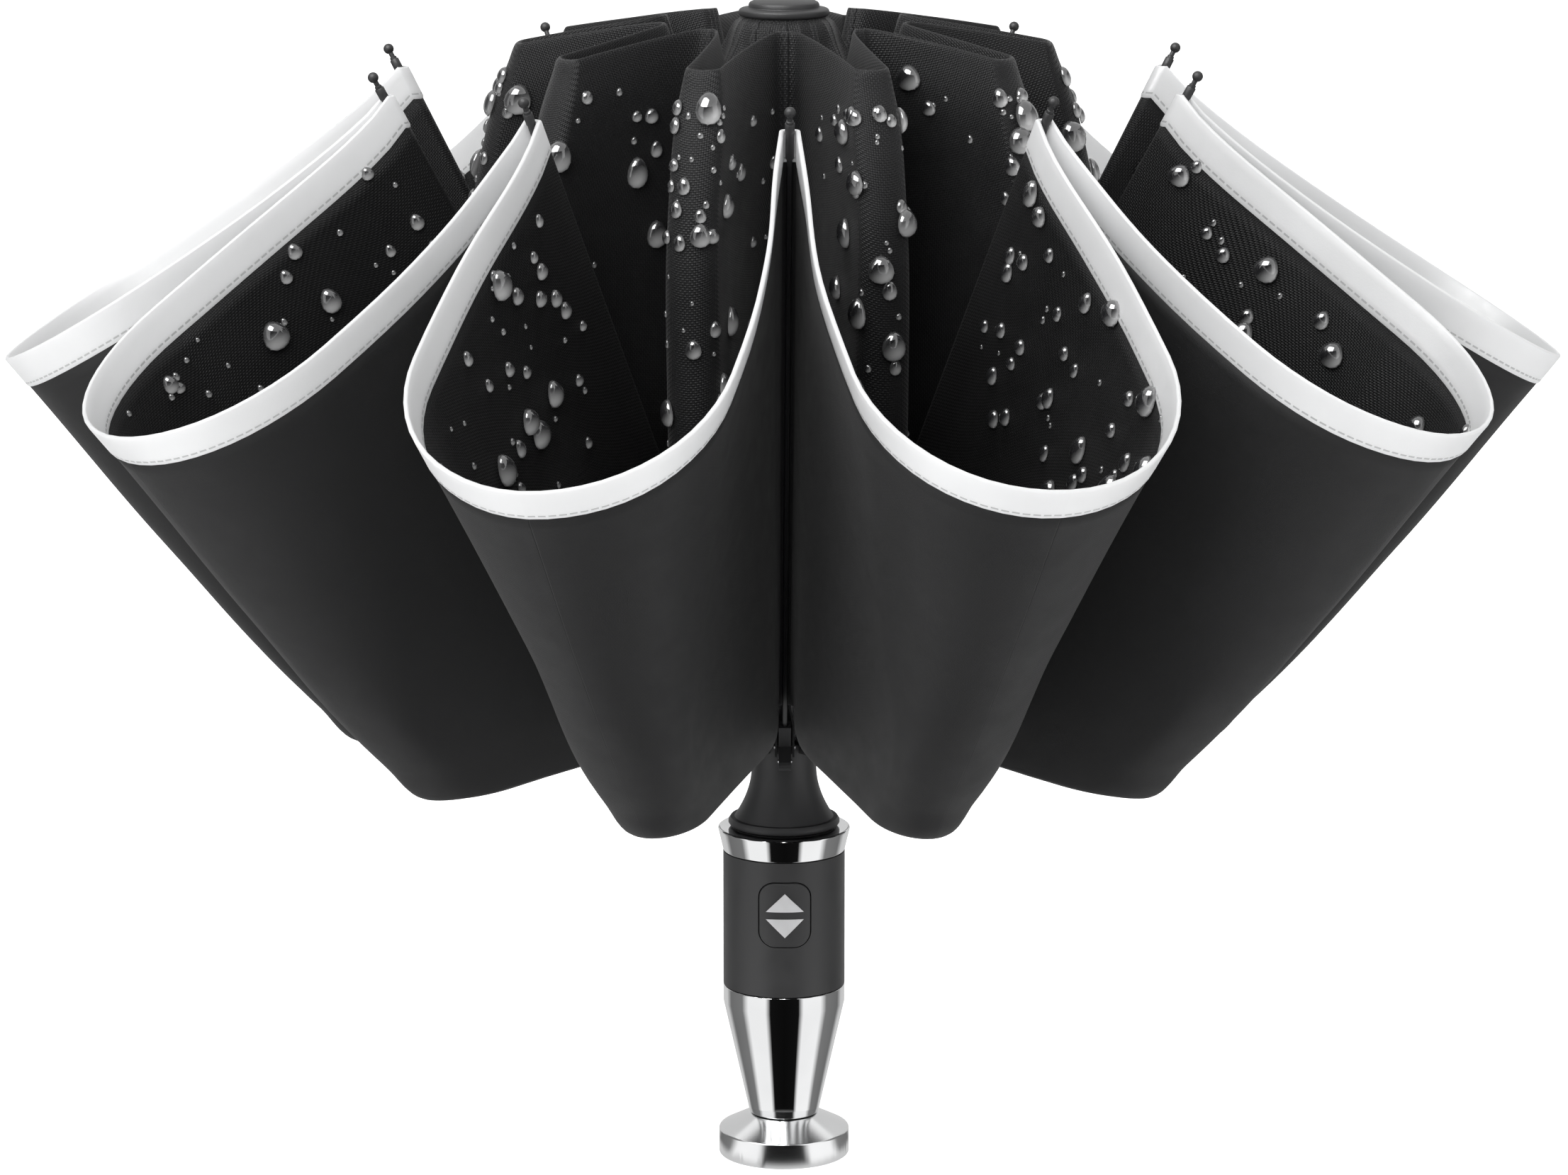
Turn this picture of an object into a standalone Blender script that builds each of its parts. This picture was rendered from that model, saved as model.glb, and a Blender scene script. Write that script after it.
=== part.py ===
"""Compact inverted umbrella: shaft pushed in, canopy folded up but not yet wrapped.

The axis of the shaft is Z, the flat of the pommel is z = 0 and the button faces -Y.
Lengths are metres. Each rib works in its own upright plane: X there points away from
the shaft, Y lies across the rib and Z points up.
"""

import math
from collections import namedtuple

import bmesh
import bpy
from mathutils import Matrix, Vector

MM = 0.001

# General values
RIBS = 10
FIT_GAP = 0.3 * MM
CUT_OVERRUN = 1.0 * MM
WELD_DISTANCE = 0.01 * MM
ROUND_SIDES = 40
TUBE_SIDES = 20
PIN_SIDES = 8
SHARP_ANGLE = math.radians(35)

# Handle, from the pommel up
POMMEL_DIAMETER = 40.4 * MM
POMMEL_FLAT_DIAMETER = 24.0 * MM
POMMEL_DOME_HEIGHT = 2.6 * MM
POMMEL_DOME_STEPS = 4
POMMEL_SIDE_HEIGHT = 7.6 * MM
POMMEL_FLARE_HEIGHT = 5.0 * MM
NECK_DIAMETER = 21.4 * MM
SHELL_WALL = 2.0 * MM
GRIP_DIAMETER = 37.6 * MM
LOWER_CONE_HEIGHT = 36.0 * MM
LOWER_BAND_HEIGHT = 5.2 * MM
GRIP_HEIGHT = 42.5 * MM
GRIP_WALL = 2.8 * MM
CORE_WALL = 2.4 * MM
CORE_PLATE = 3.0 * MM
COLLAR_HEIGHT = 7.2 * MM
COLLAR_TOP_DIAMETER = 40.8 * MM
COLLAR_LIP = 0.6 * MM

# Release button and its two arrows
BUTTON_WIDTH = 16.4 * MM
BUTTON_HEIGHT = 20.4 * MM
BUTTON_CORNER = 4.0 * MM
BUTTON_CORNER_STEPS = 3
BUTTON_RISE = 5.0 * MM
BUTTON_PROUD = 0.6 * MM
BUTTON_DEPTH = 6.6 * MM
BUTTON_EDGE = 0.5 * MM
BUTTON_TRAVEL = 1.5 * MM
ARROW_WIDTH = 11.7 * MM
ARROW_HEIGHT = 5.8 * MM
ARROW_SPACING = 2.3 * MM
ARROW_THICKNESS = 0.5 * MM
SPRING_WIDTH = 9.0 * MM
SPRING_HEIGHT = 26.0 * MM
SPRING_THICKNESS = 0.6 * MM

# Telescoping shaft
OUTER_TUBE_DIAMETER = 12.0 * MM
SHAFT_WALL = 0.7 * MM
TUBE_SLIDE_GAP = 0.35 * MM
TUBE_STEP = 3.0 * MM
SHAFT_TOP_GAP = 8.0 * MM

# Runner: the waisted bell that carries the ribs
RUNNER_SEAT_GAP = 0.5 * MM
RUNNER_HEIGHT = 27.5 * MM
RUNNER_RIM_DIAMETER = 34.4 * MM
RUNNER_RIM_ROUND = 1.0 * MM
RUNNER_WAIST_DIAMETER = 19.8 * MM
RUNNER_WAIST_HEIGHT = 18.6 * MM
RUNNER_TOP_DIAMETER = 22.6 * MM
RUNNER_FLANGE = 1.4 * MM
RUNNER_WALL = 1.8 * MM
RUNNER_STEPS = 5

# Top fittings
CROWN_HEIGHT = 361.5 * MM
CAP_DIAMETER = 27.3 * MM
CAP_FLANGE = 2.3 * MM
CAP_DISC_DIAMETER = 21.3 * MM
CAP_DISC_HEIGHT = 2.2 * MM
CAP_EDGE = 0.5 * MM
CAP_STEM_DIAMETER = 9.0 * MM
NOTCH_DIAMETER = 17.0 * MM
NOTCH_HEIGHT = 10.0 * MM
SPIDER_WALL = 1.6 * MM
SPIDER_HEIGHT = 3.0 * MM
SPIDER_STRUT = 1.8 * MM
SPIDER_DROP = 84.0 * MM

# Middle ribs: steel channels between the runner and the top fold of the cloth
CHANNEL_FOOT_DROP = 3.0 * MM
CHANNEL_TOP_DROP = 12.5 * MM
CHANNEL_TOP_RADIUS = 35.6 * MM
CHANNEL_JAW_HEIGHT = 10.0 * MM
CHANNEL_TAPER_HEIGHT = 5.0 * MM
JAW_WIDTH = 5.9 * MM
JAW_DEPTH = 5.0 * MM
CHANNEL_WIDTH = 3.8 * MM
CHANNEL_DEPTH = 2.6 * MM
CHANNEL_WALL = 0.6 * MM

# Outer ribs, their bent levers and their tips
PIVOT_DEPTH = 3.4 * MM
PIVOT_RISE = 0.5 * MM
TIP_RADIUS = 127.0 * MM
TIP_RISE = 207.5 * MM
PIN_DIAMETER = 1.2 * MM
PIN_GAP = 0.3 * MM
LEVER_WIDTH = 3.7 * MM
LEVER_THICKNESS = 3.2 * MM
LEVER_ARM = 9.0 * MM
LEVER_TAIL_OUT = 6.5 * MM
LEVER_TAIL_DROP = 4.5 * MM
EYE_DIAMETER = 3.0 * MM
EYE_HOLE_DIAMETER = 1.4 * MM
EYE_STEPS = 5
WIRE_DIAMETER = 1.6 * MM
SOCKET_DEPTH = 5.0 * MM
FERRULE_DIAMETER = 2.8 * MM
FERRULE_LENGTH = 12.0 * MM
FERRULE_BORE_DEPTH = 10.0 * MM
TIP_NECK_DIAMETER = 1.5 * MM
TIP_NECK_LENGTH = 2.0 * MM
BALL_DIAMETER = 3.2 * MM
BALL_STEPS = 5

# Canopy cloth
CLOTH = 0.6 * MM
SEAM_GAP = 0.6 * MM
TRIM_WIDTH = 9.5 * MM
TRIM_SETBACK = 8.0 * MM
TRIM_THICKNESS = 0.9 * MM
FINE_STEPS = (2, 3)
COARSE_STEPS = (1, 2)

# Half widths of the grooves in the cloth beside the ribs
TRIM_CREASE = 3.2 * MM
PETAL_CREASE = 2.6 * MM
FOOT_CREASE = 2.2 * MM
FLOOR_CREASE = 4.6 * MM
FOLD_CREASE = 4.0 * MM
RIDGE_TOP_CREASE = 6.0 * MM
RIDGE_INSIDE_CREASE = 8.0 * MM
GAP_CREASE = 4.0 * MM

# The turns of the cloth, from the cap outwards and down, then out and up to the rim
CONE_TOP_RADIUS = 17.5 * MM
CONE_TOP_DROP = 9.5 * MM
GAP_VALLEY_RADIUS = 27.5 * MM
GAP_LOBE_RADIUS = 43.0 * MM
GAP_DROP = 22.0 * MM
GAP_HALF_WIDTH = 3.4 * MM
RIDGE_INSIDE_RADIUS = 75.5 * MM
RIDGE_INSIDE_DROP = 6.0 * MM
RIDGE_INSIDE_HALF_WIDTH = 4.4 * MM
RIDGE_TOP_RADIUS = 80.0 * MM
RIDGE_TOP_RISE = 0.5 * MM
RIDGE_TOP_HALF_WIDTH = 5.6 * MM
RIDGE_VALLEY_RISE = 6.5 * MM
RIDGE_OUTER_RADIUS = 83.5 * MM
RIDGE_OUTER_DROP = 6.5 * MM
RIDGE_HALF_WIDTH = 7.0 * MM
WALL_MIDDLE_RADIUS = 93.0 * MM
WALL_MIDDLE_DROP = 37.0 * MM
WALL_MIDDLE_HALF_WIDTH = 8.0 * MM
WALL_FOOT_RADIUS = 95.0 * MM
WALL_FOOT_RISE = 19.5 * MM
WALL_FOOT_HALF_WIDTH = 6.5 * MM
WEDGE_RISE = 17.5 * MM
WEDGE_DEPTH = 3.0 * MM
FLOOR_RADIUS = 130.0 * MM
FLOOR_HALF_WIDTH = 10.8 * MM
FLOOR_DROOP = 3.0 * MM
LOW_RADIUS = 139.0 * MM
LOW_RISE = 10.0 * MM
LOW_HALF_WIDTH = 12.2 * MM
BELLY_RADIUS = 186.5 * MM
BELLY_RISE = 61.0 * MM
BELLY_HALF_WIDTH = 25.0 * MM
RIM_RADIUS = 234.5 * MM
RIM_RISE = 118.5 * MM
RIM_HALF_WIDTH = 45.75 * MM

# How far along a panel each turn is at its widest
FOLD_WIDEST_SHARE = 0.9
FLOOR_WIDEST_SHARE = 0.83
LOW_WIDEST_SHARE = 0.87
BELLY_WIDEST_SHARE = 0.73
RIM_WIDEST_SHARE = 0.612
GAP_WIDEST_SHARE = 0.6
FLAT_BULGE_SHARE = 0.5
POCKET_BULGE_SHARE = 1.15
BELLY_BULGE_SHARE = 1.3
RIM_BULGE_SHARE = 0.93
BELLY_RIB_SHARE = 0.5

# Heights and radii that follow from the values above
PANEL = 2 * math.pi / RIBS
POMMEL_TOP = POMMEL_DOME_HEIGHT + POMMEL_SIDE_HEIGHT + POMMEL_FLARE_HEIGHT
LOWER_BOTTOM = POMMEL_TOP + FIT_GAP
LOWER_TOP = LOWER_BOTTOM + LOWER_CONE_HEIGHT + LOWER_BAND_HEIGHT
GRIP_BOTTOM = LOWER_TOP + FIT_GAP
GRIP_TOP = GRIP_BOTTOM + GRIP_HEIGHT
GRIP_RADIUS = GRIP_DIAMETER / 2
COLLAR_BOTTOM = GRIP_TOP + FIT_GAP
COLLAR_TOP = COLLAR_BOTTOM + COLLAR_HEIGHT
CORE_RADIUS = GRIP_RADIUS - GRIP_WALL - FIT_GAP
OUTER_TUBE_RADIUS = OUTER_TUBE_DIAMETER / 2
MIDDLE_TUBE_RADIUS = OUTER_TUBE_RADIUS - SHAFT_WALL - TUBE_SLIDE_GAP
INNER_TUBE_RADIUS = MIDDLE_TUBE_RADIUS - SHAFT_WALL - TUBE_SLIDE_GAP
TUBE_BOTTOM = GRIP_BOTTOM + CORE_PLATE + FIT_GAP
CAP_BOTTOM = CROWN_HEIGHT - CAP_DISC_HEIGHT - CAP_FLANGE
CROWN_CLOTH_HEIGHT = CAP_BOTTOM - FIT_GAP
NOTCH_TOP = CROWN_CLOTH_HEIGHT - CLOTH - FIT_GAP
NOTCH_BOTTOM = NOTCH_TOP - NOTCH_HEIGHT
RUNNER_BOTTOM = COLLAR_TOP + RUNNER_SEAT_GAP
RUNNER_TOP = RUNNER_BOTTOM + RUNNER_HEIGHT
BUTTON_CENTRE = GRIP_BOTTOM + GRIP_HEIGHT / 2 + BUTTON_RISE
BUTTON_FACE = GRIP_RADIUS + BUTTON_PROUD
PIVOT_HEIGHT = RUNNER_TOP + PIVOT_RISE
CHANNEL_FOOT_HEIGHT = PIVOT_HEIGHT - CHANNEL_FOOT_DROP
CHANNEL_TOP_HEIGHT = CROWN_HEIGHT - CHANNEL_TOP_DROP
CHANNEL_FOOT_RADIUS = RUNNER_TOP_DIAMETER / 2 + FIT_GAP
PIVOT_RADIUS = CHANNEL_FOOT_RADIUS + PIVOT_DEPTH
RIB_OUT = TIP_RADIUS - PIVOT_RADIUS
RIB_LENGTH = math.hypot(RIB_OUT, TIP_RISE)
RIB_SPLAY = math.atan2(RIB_OUT, TIP_RISE)
CHANNEL_LEAN_SHARE = (CHANNEL_TOP_RADIUS - CHANNEL_FOOT_RADIUS) / (CHANNEL_TOP_HEIGHT - RUNNER_TOP)
GAP_HEIGHT = CHANNEL_TOP_HEIGHT - GAP_DROP
RIDGE_INSIDE_HEIGHT = CHANNEL_TOP_HEIGHT - RIDGE_INSIDE_DROP
RIDGE_TOP_HEIGHT = CHANNEL_TOP_HEIGHT + RIDGE_TOP_RISE
RIDGE_OUTER_HEIGHT = CHANNEL_TOP_HEIGHT - RIDGE_OUTER_DROP
WALL_MIDDLE_HEIGHT = RIDGE_OUTER_HEIGHT - WALL_MIDDLE_DROP
WALL_FOOT_HEIGHT = PIVOT_HEIGHT + WALL_FOOT_RISE
WEDGE_HEIGHT = PIVOT_HEIGHT + WEDGE_RISE
FLOOR_HEIGHT = PIVOT_HEIGHT
LOW_HEIGHT = PIVOT_HEIGHT + LOW_RISE
BELLY_HEIGHT = PIVOT_HEIGHT + BELLY_RISE
RIM_HEIGHT = PIVOT_HEIGHT + RIM_RISE


# Materials

def principled(name, color, roughness, metallic=0.0):
    material = bpy.data.materials.new(name)
    material.use_nodes = True
    shader = material.node_tree.nodes["Principled BSDF"]
    shader.inputs["Base Color"].default_value = (*color, 1.0)
    shader.inputs["Roughness"].default_value = roughness
    shader.inputs["Metallic"].default_value = metallic
    material.diffuse_color = (*color, 1.0)
    return material


def make_materials():
    return {
        "chrome": principled("chrome_plate", (0.80, 0.80, 0.81), 0.08, 1.0),
        "grip": principled("soft_touch_rubber", (0.045, 0.045, 0.047), 0.62),
        "plastic": principled("black_plastic", (0.035, 0.035, 0.037), 0.42),
        "steel": principled("black_steel", (0.030, 0.030, 0.032), 0.35, 0.6),
        "tube": principled("steel_tube", (0.32, 0.32, 0.33), 0.25, 1.0),
        "arrow": principled("satin_silver", (0.70, 0.70, 0.72), 0.30, 1.0),
        "dry_cloth": principled("dry_cloth", (0.030, 0.030, 0.033), 0.80),
        "wet_cloth": principled("wet_cloth", (0.016, 0.016, 0.018), 0.45),
        "trim": principled("reflective_trim", (0.86, 0.87, 0.89), 0.38),
    }


# Shared mesh tools

def add_object(name, mesh, material, parent=None):
    """A named object with its own copy of the material, smooth except at sharp edges."""
    obj = bpy.data.objects.new(name, mesh)
    bpy.context.scene.collection.objects.link(obj)
    if not mesh.materials:
        mesh.materials.append(material)
    mesh.shade_smooth()
    mesh.set_sharp_from_angle(angle=SHARP_ANGLE)
    obj.parent = parent
    return obj


def mesh_from(bm, name):
    bmesh.ops.recalc_face_normals(bm, faces=bm.faces)
    mesh = bpy.data.meshes.new(name)
    bm.to_mesh(mesh)
    bm.free()
    return mesh


def turned_mesh(name, profile, sides, closed=False):
    """A profile of (radius, height) points turned about Z."""
    bm = bmesh.new()
    verts = [bm.verts.new((radius, 0, height)) for radius, height in profile]
    edges = [bm.edges.new(pair) for pair in zip(verts, verts[1:])]
    if closed:
        edges.append(bm.edges.new((verts[-1], verts[0])))
    bmesh.ops.spin(bm, geom=verts + edges, cent=(0, 0, 0), axis=(0, 0, 1),
                   angle=2 * math.pi, steps=sides, use_merge=True)
    bmesh.ops.remove_doubles(bm, verts=bm.verts, dist=WELD_DISTANCE)
    return mesh_from(bm, name)


def tube_profile(inner, outer, bottom, top):
    return [(outer, top), (outer, bottom), (inner, bottom), (inner, top)]


def prism_mesh(name, outline, half_width):
    """An outline of (x, z) points made solid from -half_width to half_width along Y."""
    bm = bmesh.new()
    face = bm.faces.new([bm.verts.new((x, -half_width, z)) for x, z in outline])
    made = bmesh.ops.extrude_face_region(bm, geom=[face])
    moved = [item for item in made["geom"] if isinstance(item, bmesh.types.BMVert)]
    bmesh.ops.translate(bm, verts=moved, vec=(0, 2 * half_width, 0))
    return mesh_from(bm, name)


def rod_mesh(name, radius, start, end, sides):
    """A round rod from start to end."""
    along = Vector(end) - Vector(start)
    turn = along.to_track_quat("Z", "Y").to_matrix().to_4x4()
    middle = Matrix.Translation((Vector(start) + Vector(end)) / 2)
    bm = bmesh.new()
    bmesh.ops.create_cone(bm, cap_ends=True, segments=sides, radius1=radius, radius2=radius,
                          depth=along.length, matrix=middle @ turn)
    return mesh_from(bm, name)


def add_tool(mesh, location=(0, 0, 0)):
    """A body used only to cut or to join."""
    tool = bpy.data.objects.new(mesh.name, mesh)
    bpy.context.scene.collection.objects.link(tool)
    tool.location = location
    tool.hide_render = True
    tool.display_type = "WIRE"
    return tool


def combine(obj, tool, operation):
    modifier = obj.modifiers.new(operation.title(), "BOOLEAN")
    modifier.operation = operation
    modifier.solver = "EXACT"
    modifier.object = tool


def finished_mesh(name, base, steps):
    """The mesh that is left after joining or cutting base with each (operation, mesh)."""
    obj = add_tool(base)
    tools = [add_tool(mesh) for operation, mesh in steps]
    for tool, (operation, mesh) in zip(tools, steps):
        combine(obj, tool, operation)
    bpy.context.view_layer.update()
    result = bpy.data.meshes.new_from_object(obj.evaluated_get(bpy.context.evaluated_depsgraph_get()))
    result.name = name
    for spent in [obj, *tools]:
        bpy.data.objects.remove(spent, do_unlink=True)
    return result


def rounded_rectangle(width, height, corner, steps):
    """Points (x, z) of a rounded rectangle about its centre."""
    points = []
    corners = [(1, 1, 0), (-1, 1, 1), (-1, -1, 2), (1, -1, 3)]
    for side_x, side_z, quarter in corners:
        for step in range(steps + 1):
            angle = (quarter + step / steps) * math.pi / 2
            points.append((side_x * (width / 2 - corner) + corner * math.cos(angle),
                           side_z * (height / 2 - corner) + corner * math.sin(angle)))
    return points


# Handle

def make_pommel(materials):
    side = POMMEL_DIAMETER / 2
    flat = POMMEL_FLAT_DIAMETER / 2
    dome = []
    for step in range(POMMEL_DOME_STEPS + 1):
        angle = step / POMMEL_DOME_STEPS * math.pi / 2
        dome.append((flat + (side - flat) * math.sin(angle), POMMEL_DOME_HEIGHT * (1 - math.cos(angle))))
    shoulder = POMMEL_TOP - POMMEL_FLARE_HEIGHT
    profile = [(0, POMMEL_DOME_HEIGHT), (side - SHELL_WALL, POMMEL_DOME_HEIGHT),
               (side - SHELL_WALL, shoulder), (NECK_DIAMETER / 2 - SHELL_WALL, POMMEL_TOP),
               (NECK_DIAMETER / 2, POMMEL_TOP), (side, shoulder), *reversed(dome), (0, 0)]
    add_object("pommel", turned_mesh("pommel", profile, ROUND_SIDES), materials["chrome"])


def make_lower_handle(materials):
    band_bottom = LOWER_TOP - LOWER_BAND_HEIGHT
    plate_bottom = LOWER_TOP - SHELL_WALL
    profile = [(0, LOWER_TOP), (GRIP_RADIUS, LOWER_TOP), (GRIP_RADIUS, band_bottom),
               (NECK_DIAMETER / 2, LOWER_BOTTOM), (NECK_DIAMETER / 2 - SHELL_WALL, LOWER_BOTTOM),
               (GRIP_RADIUS - SHELL_WALL, band_bottom), (GRIP_RADIUS - SHELL_WALL, plate_bottom),
               (0, plate_bottom)]
    add_object("lower_handle", turned_mesh("lower_handle", profile, ROUND_SIDES), materials["chrome"])


def button_window():
    """A cutter with the button's outline plus its gap, from the axis out past the grip."""
    outline = rounded_rectangle(BUTTON_WIDTH + 2 * FIT_GAP, BUTTON_HEIGHT + 2 * FIT_GAP,
                                BUTTON_CORNER + FIT_GAP, BUTTON_CORNER_STEPS)
    depth = (GRIP_RADIUS + CUT_OVERRUN) / 2
    return add_tool(prism_mesh("button_window", outline, depth), (0, -depth, BUTTON_CENTRE))


def make_grip(materials):
    window = button_window()
    core = tube_profile(OUTER_TUBE_RADIUS + FIT_GAP, CORE_RADIUS, GRIP_BOTTOM, COLLAR_TOP)
    outer_top, outer_bottom, inner_bottom, inner_top = core
    profile = [outer_top, outer_bottom, (0, GRIP_BOTTOM), (0, GRIP_BOTTOM + CORE_PLATE),
               (CORE_RADIUS - CORE_WALL, GRIP_BOTTOM + CORE_PLATE),
               (CORE_RADIUS - CORE_WALL, COLLAR_TOP - CORE_PLATE),
               (inner_top[0], COLLAR_TOP - CORE_PLATE), inner_top, outer_top]
    handle_core = add_object("handle_core", turned_mesh("handle_core", profile, ROUND_SIDES),
                             materials["plastic"])
    combine(handle_core, window, "DIFFERENCE")
    sleeve = tube_profile(GRIP_RADIUS - GRIP_WALL, GRIP_RADIUS, GRIP_BOTTOM, GRIP_TOP)
    grip = add_object("grip_sleeve", turned_mesh("grip_sleeve", sleeve, ROUND_SIDES, closed=True),
                      materials["grip"])
    combine(grip, window, "DIFFERENCE")


def make_collar(materials):
    bore = CORE_RADIUS + FIT_GAP
    top = COLLAR_TOP_DIAMETER / 2
    profile = [(top - COLLAR_LIP, COLLAR_TOP), (top, COLLAR_TOP - COLLAR_LIP),
               (GRIP_RADIUS, COLLAR_BOTTOM), (bore, COLLAR_BOTTOM), (bore, COLLAR_TOP)]
    add_object("chrome_collar", turned_mesh("chrome_collar", profile, ROUND_SIDES, closed=True),
               materials["chrome"])


def make_button(materials):
    """The button slides along Y; its face carries an arrow up and an arrow down."""
    slide = bpy.data.objects.new("button_slide", None)
    bpy.context.scene.collection.objects.link(slide)
    slide.location = (0, -BUTTON_FACE, BUTTON_CENTRE)
    outline = rounded_rectangle(BUTTON_WIDTH, BUTTON_HEIGHT, BUTTON_CORNER, BUTTON_CORNER_STEPS)
    button = add_object("button", prism_mesh("button", outline, BUTTON_DEPTH / 2),
                        materials["plastic"], slide)
    button.location = (0, BUTTON_DEPTH / 2, 0)
    edge = button.modifiers.new("Edge", "BEVEL")
    edge.width = BUTTON_EDGE
    edge.segments = 1
    edge.limit_method = "ANGLE"
    edge.angle_limit = math.radians(60)
    for name, way in (("arrow_up", 1), ("arrow_down", -1)):
        base = way * ARROW_SPACING / 2
        point = way * (ARROW_SPACING / 2 + ARROW_HEIGHT)
        outline = [(-ARROW_WIDTH / 2, base), (ARROW_WIDTH / 2, base), (0, point)]
        arrow = add_object(name, prism_mesh(name, outline, ARROW_THICKNESS / 2),
                           materials["arrow"], slide)
        arrow.location = (0, -FIT_GAP - ARROW_THICKNESS / 2, 0)


def make_button_spring(materials):
    """A leaf bowed towards the button, its two feet against the inside of the core."""
    inside = math.sqrt((CORE_RADIUS - CORE_WALL) ** 2 - (SPRING_WIDTH / 2) ** 2) - FIT_GAP
    bow = BUTTON_FACE - BUTTON_DEPTH - BUTTON_TRAVEL - FIT_GAP
    half = SPRING_HEIGHT / 2
    foot = half - BUTTON_EDGE - SPRING_THICKNESS
    inner = bow - SPRING_THICKNESS
    outline = [(bow, -foot), (bow, foot), (inside, foot), (inside, half), (inner, half),
               (inner, -half), (inside, -half), (inside, -foot)]
    mesh = prism_mesh("button_spring", outline, SPRING_WIDTH / 2)
    spring = add_object("button_spring", mesh, materials["tube"])
    spring.location = (0, 0, BUTTON_CENTRE)
    spring.rotation_euler = (0, 0, -math.pi / 2)


# Shaft and runner

def make_shaft(materials):
    notch_seat = NOTCH_TOP - FIT_GAP
    tops = {"outer_tube": NOTCH_BOTTOM - SHAFT_TOP_GAP - TUBE_STEP,
            "middle_tube": NOTCH_BOTTOM - SHAFT_TOP_GAP,
            "inner_tube": notch_seat}
    radii = {"outer_tube": OUTER_TUBE_RADIUS, "middle_tube": MIDDLE_TUBE_RADIUS,
             "inner_tube": INNER_TUBE_RADIUS}
    for place, name in enumerate(tops):
        bottom = TUBE_BOTTOM + place * TUBE_STEP
        profile = tube_profile(radii[name] - SHAFT_WALL, radii[name], bottom, tops[name])
        add_object(name, turned_mesh(name, profile, TUBE_SIDES, closed=True), materials["tube"])


def waist_radius(height):
    """Outer radius of the runner at a height above its rim."""
    rim = RUNNER_RIM_DIAMETER / 2
    waist = RUNNER_WAIST_DIAMETER / 2
    top = RUNNER_TOP_DIAMETER / 2
    if height < RUNNER_WAIST_HEIGHT:
        fall = 1 - height / RUNNER_WAIST_HEIGHT
        return waist + (rim - waist) * fall ** 2
    rise = (height - RUNNER_WAIST_HEIGHT) / (RUNNER_HEIGHT - RUNNER_FLANGE - RUNNER_WAIST_HEIGHT)
    return waist + (top - waist) * min(rise, 1) ** 2


def make_runner(materials):
    bore = OUTER_TUBE_RADIUS + FIT_GAP
    rim = RUNNER_RIM_DIAMETER / 2
    skirt = []
    for step in range(1, RUNNER_STEPS):
        height = RUNNER_RIM_ROUND + step / RUNNER_STEPS * (RUNNER_WAIST_HEIGHT - RUNNER_RIM_ROUND)
        skirt.append((waist_radius(height), height))
    flange = RUNNER_HEIGHT - RUNNER_FLANGE
    outside = [(rim - RUNNER_RIM_ROUND, 0), (rim, RUNNER_RIM_ROUND), *skirt,
               (waist_radius(RUNNER_WAIST_HEIGHT), RUNNER_WAIST_HEIGHT),
               (waist_radius(flange), flange), (RUNNER_TOP_DIAMETER / 2, RUNNER_HEIGHT)]
    roof = RUNNER_WAIST_HEIGHT - RUNNER_WALL
    inside = [(bore, RUNNER_HEIGHT), (bore, roof)]
    for radius, height in reversed(skirt):
        if height < roof and radius - RUNNER_WALL > bore:
            inside.append((radius - RUNNER_WALL, height))
    inside.append((rim - RUNNER_RIM_ROUND - RUNNER_WALL, 0))
    profile = [(radius, RUNNER_BOTTOM + height) for radius, height in outside + inside]
    add_object("runner", turned_mesh("runner", profile, ROUND_SIDES, closed=True), materials["plastic"])


# Top fittings

def make_top(materials):
    seat = NOTCH_TOP + FIT_GAP
    disc = CAP_DISC_DIAMETER / 2
    cap = CAP_DIAMETER / 2
    flange_top = CAP_BOTTOM + CAP_FLANGE
    profile = [(0, CROWN_HEIGHT), (disc - CAP_EDGE, CROWN_HEIGHT), (disc, CROWN_HEIGHT - CAP_EDGE),
               (disc, flange_top), (cap - CAP_EDGE, flange_top), (cap, flange_top - CAP_EDGE),
               (cap, CAP_BOTTOM), (CAP_STEM_DIAMETER / 2, CAP_BOTTOM),
               (CAP_STEM_DIAMETER / 2, seat), (0, seat)]
    add_object("top_cap", turned_mesh("top_cap", profile, ROUND_SIDES), materials["plastic"])
    notch = tube_profile(INNER_TUBE_RADIUS + FIT_GAP, NOTCH_DIAMETER / 2, NOTCH_BOTTOM, NOTCH_TOP)
    add_object("top_notch", turned_mesh("top_notch", notch, TUBE_SIDES, closed=True),
               materials["plastic"])


def channel_radius(height):
    """Radius of the inner face of a middle rib at a height."""
    return CHANNEL_FOOT_RADIUS + CHANNEL_LEAN_SHARE * (height - RUNNER_TOP)


def make_inner_ribs(materials):
    """Ten short ribs from a ring on the top notch down to the middle ribs."""
    bore = NOTCH_DIAMETER / 2 + FIT_GAP
    ring_top = NOTCH_TOP - FIT_GAP - CLOTH
    ring_bottom = ring_top - SPIDER_HEIGHT
    ring = turned_mesh("inner_ribs", tube_profile(bore, bore + SPIDER_WALL, ring_bottom, ring_top),
                       TUBE_SIDES, closed=True)
    start_radius = bore + SPIDER_WALL / 2
    end_height = ring_bottom - SPIDER_DROP
    end_radius = channel_radius(end_height) - FIT_GAP
    steps = []
    for rib in range(RIBS):
        out = rib_direction(rib)
        start = out * start_radius + Vector((0, 0, (ring_top + ring_bottom) / 2))
        end = out * (end_radius - SPIDER_STRUT / 2) + Vector((0, 0, end_height))
        steps.append(("UNION", rod_mesh("inner_rib", SPIDER_STRUT / 2, start, end, PIN_SIDES)))
    add_object("inner_ribs", finished_mesh("inner_ribs", ring, steps), materials["steel"])


# Ribs

def rib_turn(rib):
    """Rotation about Z that turns a rib's own X away from the shaft; rib 0 is at -Y."""
    return rib * PANEL - math.pi / 2


def rib_direction(rib):
    return Vector((math.cos(rib_turn(rib)), math.sin(rib_turn(rib)), 0))


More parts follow.
